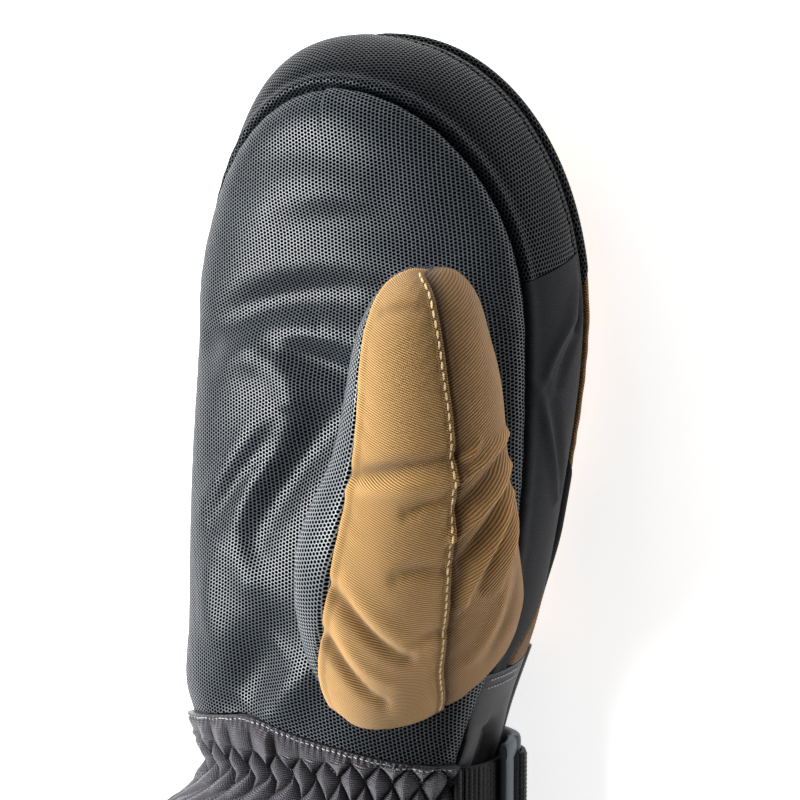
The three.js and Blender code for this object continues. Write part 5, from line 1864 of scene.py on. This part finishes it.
def coated_finish(name, dark, light, specular):
    material, tree, shader, cloth = new_finish(name, 0.4, specular)
    mask = add_group(tree, NET, Cloth=cloth)
    net = mask.outputs["Net"]
    cloud = add_group(tree, UNEVEN).outputs["Cloud"]
    coat = blend_colours(tree, cloud, colour(dark), colour(light))
    tone = paint_shading(tree, blend_colours(tree, net, HOLLOW_COLOUR, coat), 0.5, 1.5)
    smoother = maths(tree, "MULTIPLY", net, NET_ROUGHNESS["drop"])
    rough = maths(tree, "SUBTRACT", NET_ROUGHNESS["hollow"], smoother)
    tree.links.new(tone, shader.inputs["Base Color"])
    tree.links.new(rough, shader.inputs["Roughness"])
    tree.links.new(maths(tree, "SUBTRACT", 1.0, net), shader.inputs["Metallic"])
    add_bump(tree, shader, mask.outputs["Height"], NET_DEPTH)
    return material


# %% [markdown]
# The caramel twill, the navy ripstop, the grey cloth and the webbing differ in pitch, slant, depth and
# tone, so one function makes them all. Moulded plastic and thread are plain, with a faint grain.

# %% Woven and plain finishes
def woven_finish(
    name, dark, light, pitch, slant, depth, rough=0.75, sheen=0.15, specular=0.3, wear=(0.5, 1.5)
):
    material, tree, shader, cloth = new_finish(name, rough, specular, sheen)
    ribs = add_group(tree, RIBS, Cloth=cloth, Pitch=pitch, Slant=slant, Thread=pitch * 0.8)
    cloud = maths(tree, "MULTIPLY", add_group(tree, UNEVEN).outputs["Cloud"], 1 - RIB_SHARE)
    tone = maths(tree, "ADD", maths(tree, "MULTIPLY", ribs.outputs["Height"], RIB_SHARE), cloud)
    shade = blend_colours(tree, tone, colour(dark), colour(light))
    tree.links.new(paint_shading(tree, shade, *wear), shader.inputs["Base Color"])
    add_bump(tree, shader, ribs.outputs["Height"], depth)
    return material


def plain_finish(name, code):
    material, tree, shader, cloth = new_finish(name, 0.42, 0.5)
    uneven_tone = add_group(tree, UNEVEN, Large=60.0, Small=2500.0)
    light = tuple(min(1, v * 1.25) for v in colour(code)[:3]) + (1.0,)
    shade = blend_colours(tree, uneven_tone.outputs["Cloud"], colour(code), light)
    tree.links.new(shade, shader.inputs["Base Color"])
    add_bump(tree, shader, uneven_tone.outputs["Fibre"], 0.00004)
    return material


# %% Table of finishes
WOVEN = {
    # A lighter copy of the caramel twill: painted light on the thumb's front, which faces the lamp.
    "front": {"name": "caramel twill, thumb front, painted light", "dark": "#5a3a18", "light": "#ffc97d",
              "pitch": 0.00064, "slant": 0.37, "depth": 0.0003, "wear": (0.2, 1.9)},
    "caramel": {"name": "caramel twill", "dark": "#51371a", "light": "#c0935a",
                "pitch": 0.00068, "slant": -0.52, "depth": 0.00025, "wear": (0.2, 1.9)},
    "navy": {"name": "navy ripstop", "dark": "#05070b", "light": "#12161f",
             "pitch": 0.00066, "slant": 1.57, "depth": 0.0001, "rough": 0.6, "sheen": 0.0, "specular": 0.2},
    "grey": {"name": "grey ribbed cloth", "dark": "#0e0d10", "light": "#59565f",
             "pitch": 0.0007, "slant": 0.0, "depth": 0.0004,
             "rough": 0.45, "specular": 0.6, "wear": (0.2, 1.5)},
    # The smooth wrist cloth has less relief, and its darker tone is painted shade on the side away from the
    # lamp.
    "smooth grey": {"name": "smooth grey cloth, painted shade", "dark": "#0d0c0e", "light": "#3a383d",
                    "pitch": 0.0006, "slant": 0.0, "depth": 0.00008, "rough": 0.5, "specular": 0.4},
    "binding": {"name": "grey binding", "dark": "#3c3a40", "light": "#58555c",
                "pitch": 0.0009, "slant": 0.0, "depth": 0.00012},
    "webbing": {"name": "black webbing", "dark": "#030405", "light": "#0c0e12",
                "pitch": 0.0008, "slant": 0.6, "depth": 0.00006, "rough": 0.55, "specular": 0.2},
}
COATED = {
    "coated": {"name": "coated net cloth", "dark": "#373d42", "light": "#5b6268", "specular": 0.9},
    # A darker copy of the coated net cloth: painted shade on the band, which faces away from the lamp.
    "band": {"name": "coated net cloth, painted shade", "dark": "#1b1e21", "light": "#2f3438", "specular": 0.4},
    # A lighter copy of the coated net cloth: painted light on the thumb's inner panel, which faces the lamp.
    "inner": {"name": "coated net cloth, thumb, painted light", "dark": "#5a6064", "light": "#8a9095", "specular": 1.0},
}
PLAIN = {
    "buckle": {"name": "slate plastic", "code": "#3a444c"},
    "cream thread": {"name": "cream thread", "code": "#f4d09c"},
    "pale thread": {"name": "pale grey thread", "code": "#b4b2b8"},
    "grey thread": {"name": "grey thread", "code": "#6f6c73"},
}
FINISHES = {}
for make, table in ((coated_finish, COATED), (woven_finish, WOVEN), (plain_finish, PLAIN)):
    FINISHES.update({key: make(**row) for key, row in table.items()})
print("finishes:", ", ".join(FINISHES))

# %% [markdown]
# ## Giving each piece its place
#
# Every piece rides on the one body, stands in for its packed panel, which is hidden, and takes its finish
# from the table.

# %% Places
PLACES = [
    (palm, "palm_panel", "coated"),
    (strips["band_cloth"], "fingertip_band", "band"),
    (strips["index_side_cloth"], "index_side_panel", "navy"),
    (strips["pinky_side_cloth"], "pinky_side_panel", "navy"),
    (wraps["band_turned_cloth"], "fingertip_band", "band"),
    (wraps["index_turned_cloth"], "index_side_panel", "navy"),
    (hand_back, "back_panel", "caramel"),
    (strips["index_lap_cloth"], "back_panel", "caramel"),
    (strips["pinky_lap_cloth"], "back_panel", "caramel"),
    (thumb["thumb_front_panel"], "thumb_front_panel", "front"),
    (thumb["thumb_side_panel"], "thumb_side_panel", "caramel"),
    (thumb["thumb_inner_panel"], "thumb_inner_panel", "inner"),
    (gather, "wrist_gather", "grey"),
    (wrist_back, "wrist_back_panel", "smooth grey"),
    (cuff, "gauntlet_cuff", "grey"),
    (hem, "cuff_hem", "binding"),
    (strap, "wrist_strap", "webbing"),
    (tail, "strap_tail", "webbing"),
    (slide, "strap_buckle", "buckle"),
    (thumb_stitches, "thumb_front_panel", "cream thread"),
    (edge_stitches, "wrist_gather", "pale thread"),
    (first_zigzag, "wrist_gather", "pale thread"),
    (tacks[0], "wrist_back_panel", "pale thread"),
    (tacks[1], "wrist_back_panel", "pale thread"),
    (hem_stitches, "cuff_hem", "grey thread"),
]
for piece, node, finish in PLACES:
    piece.data.materials.clear()
    piece.data.materials.append(FINISHES[finish])
    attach(piece, "root")
    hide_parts(node)
print(len(PLACES), "pieces stand for", len({node for _, node, _ in PLACES}), "panels")
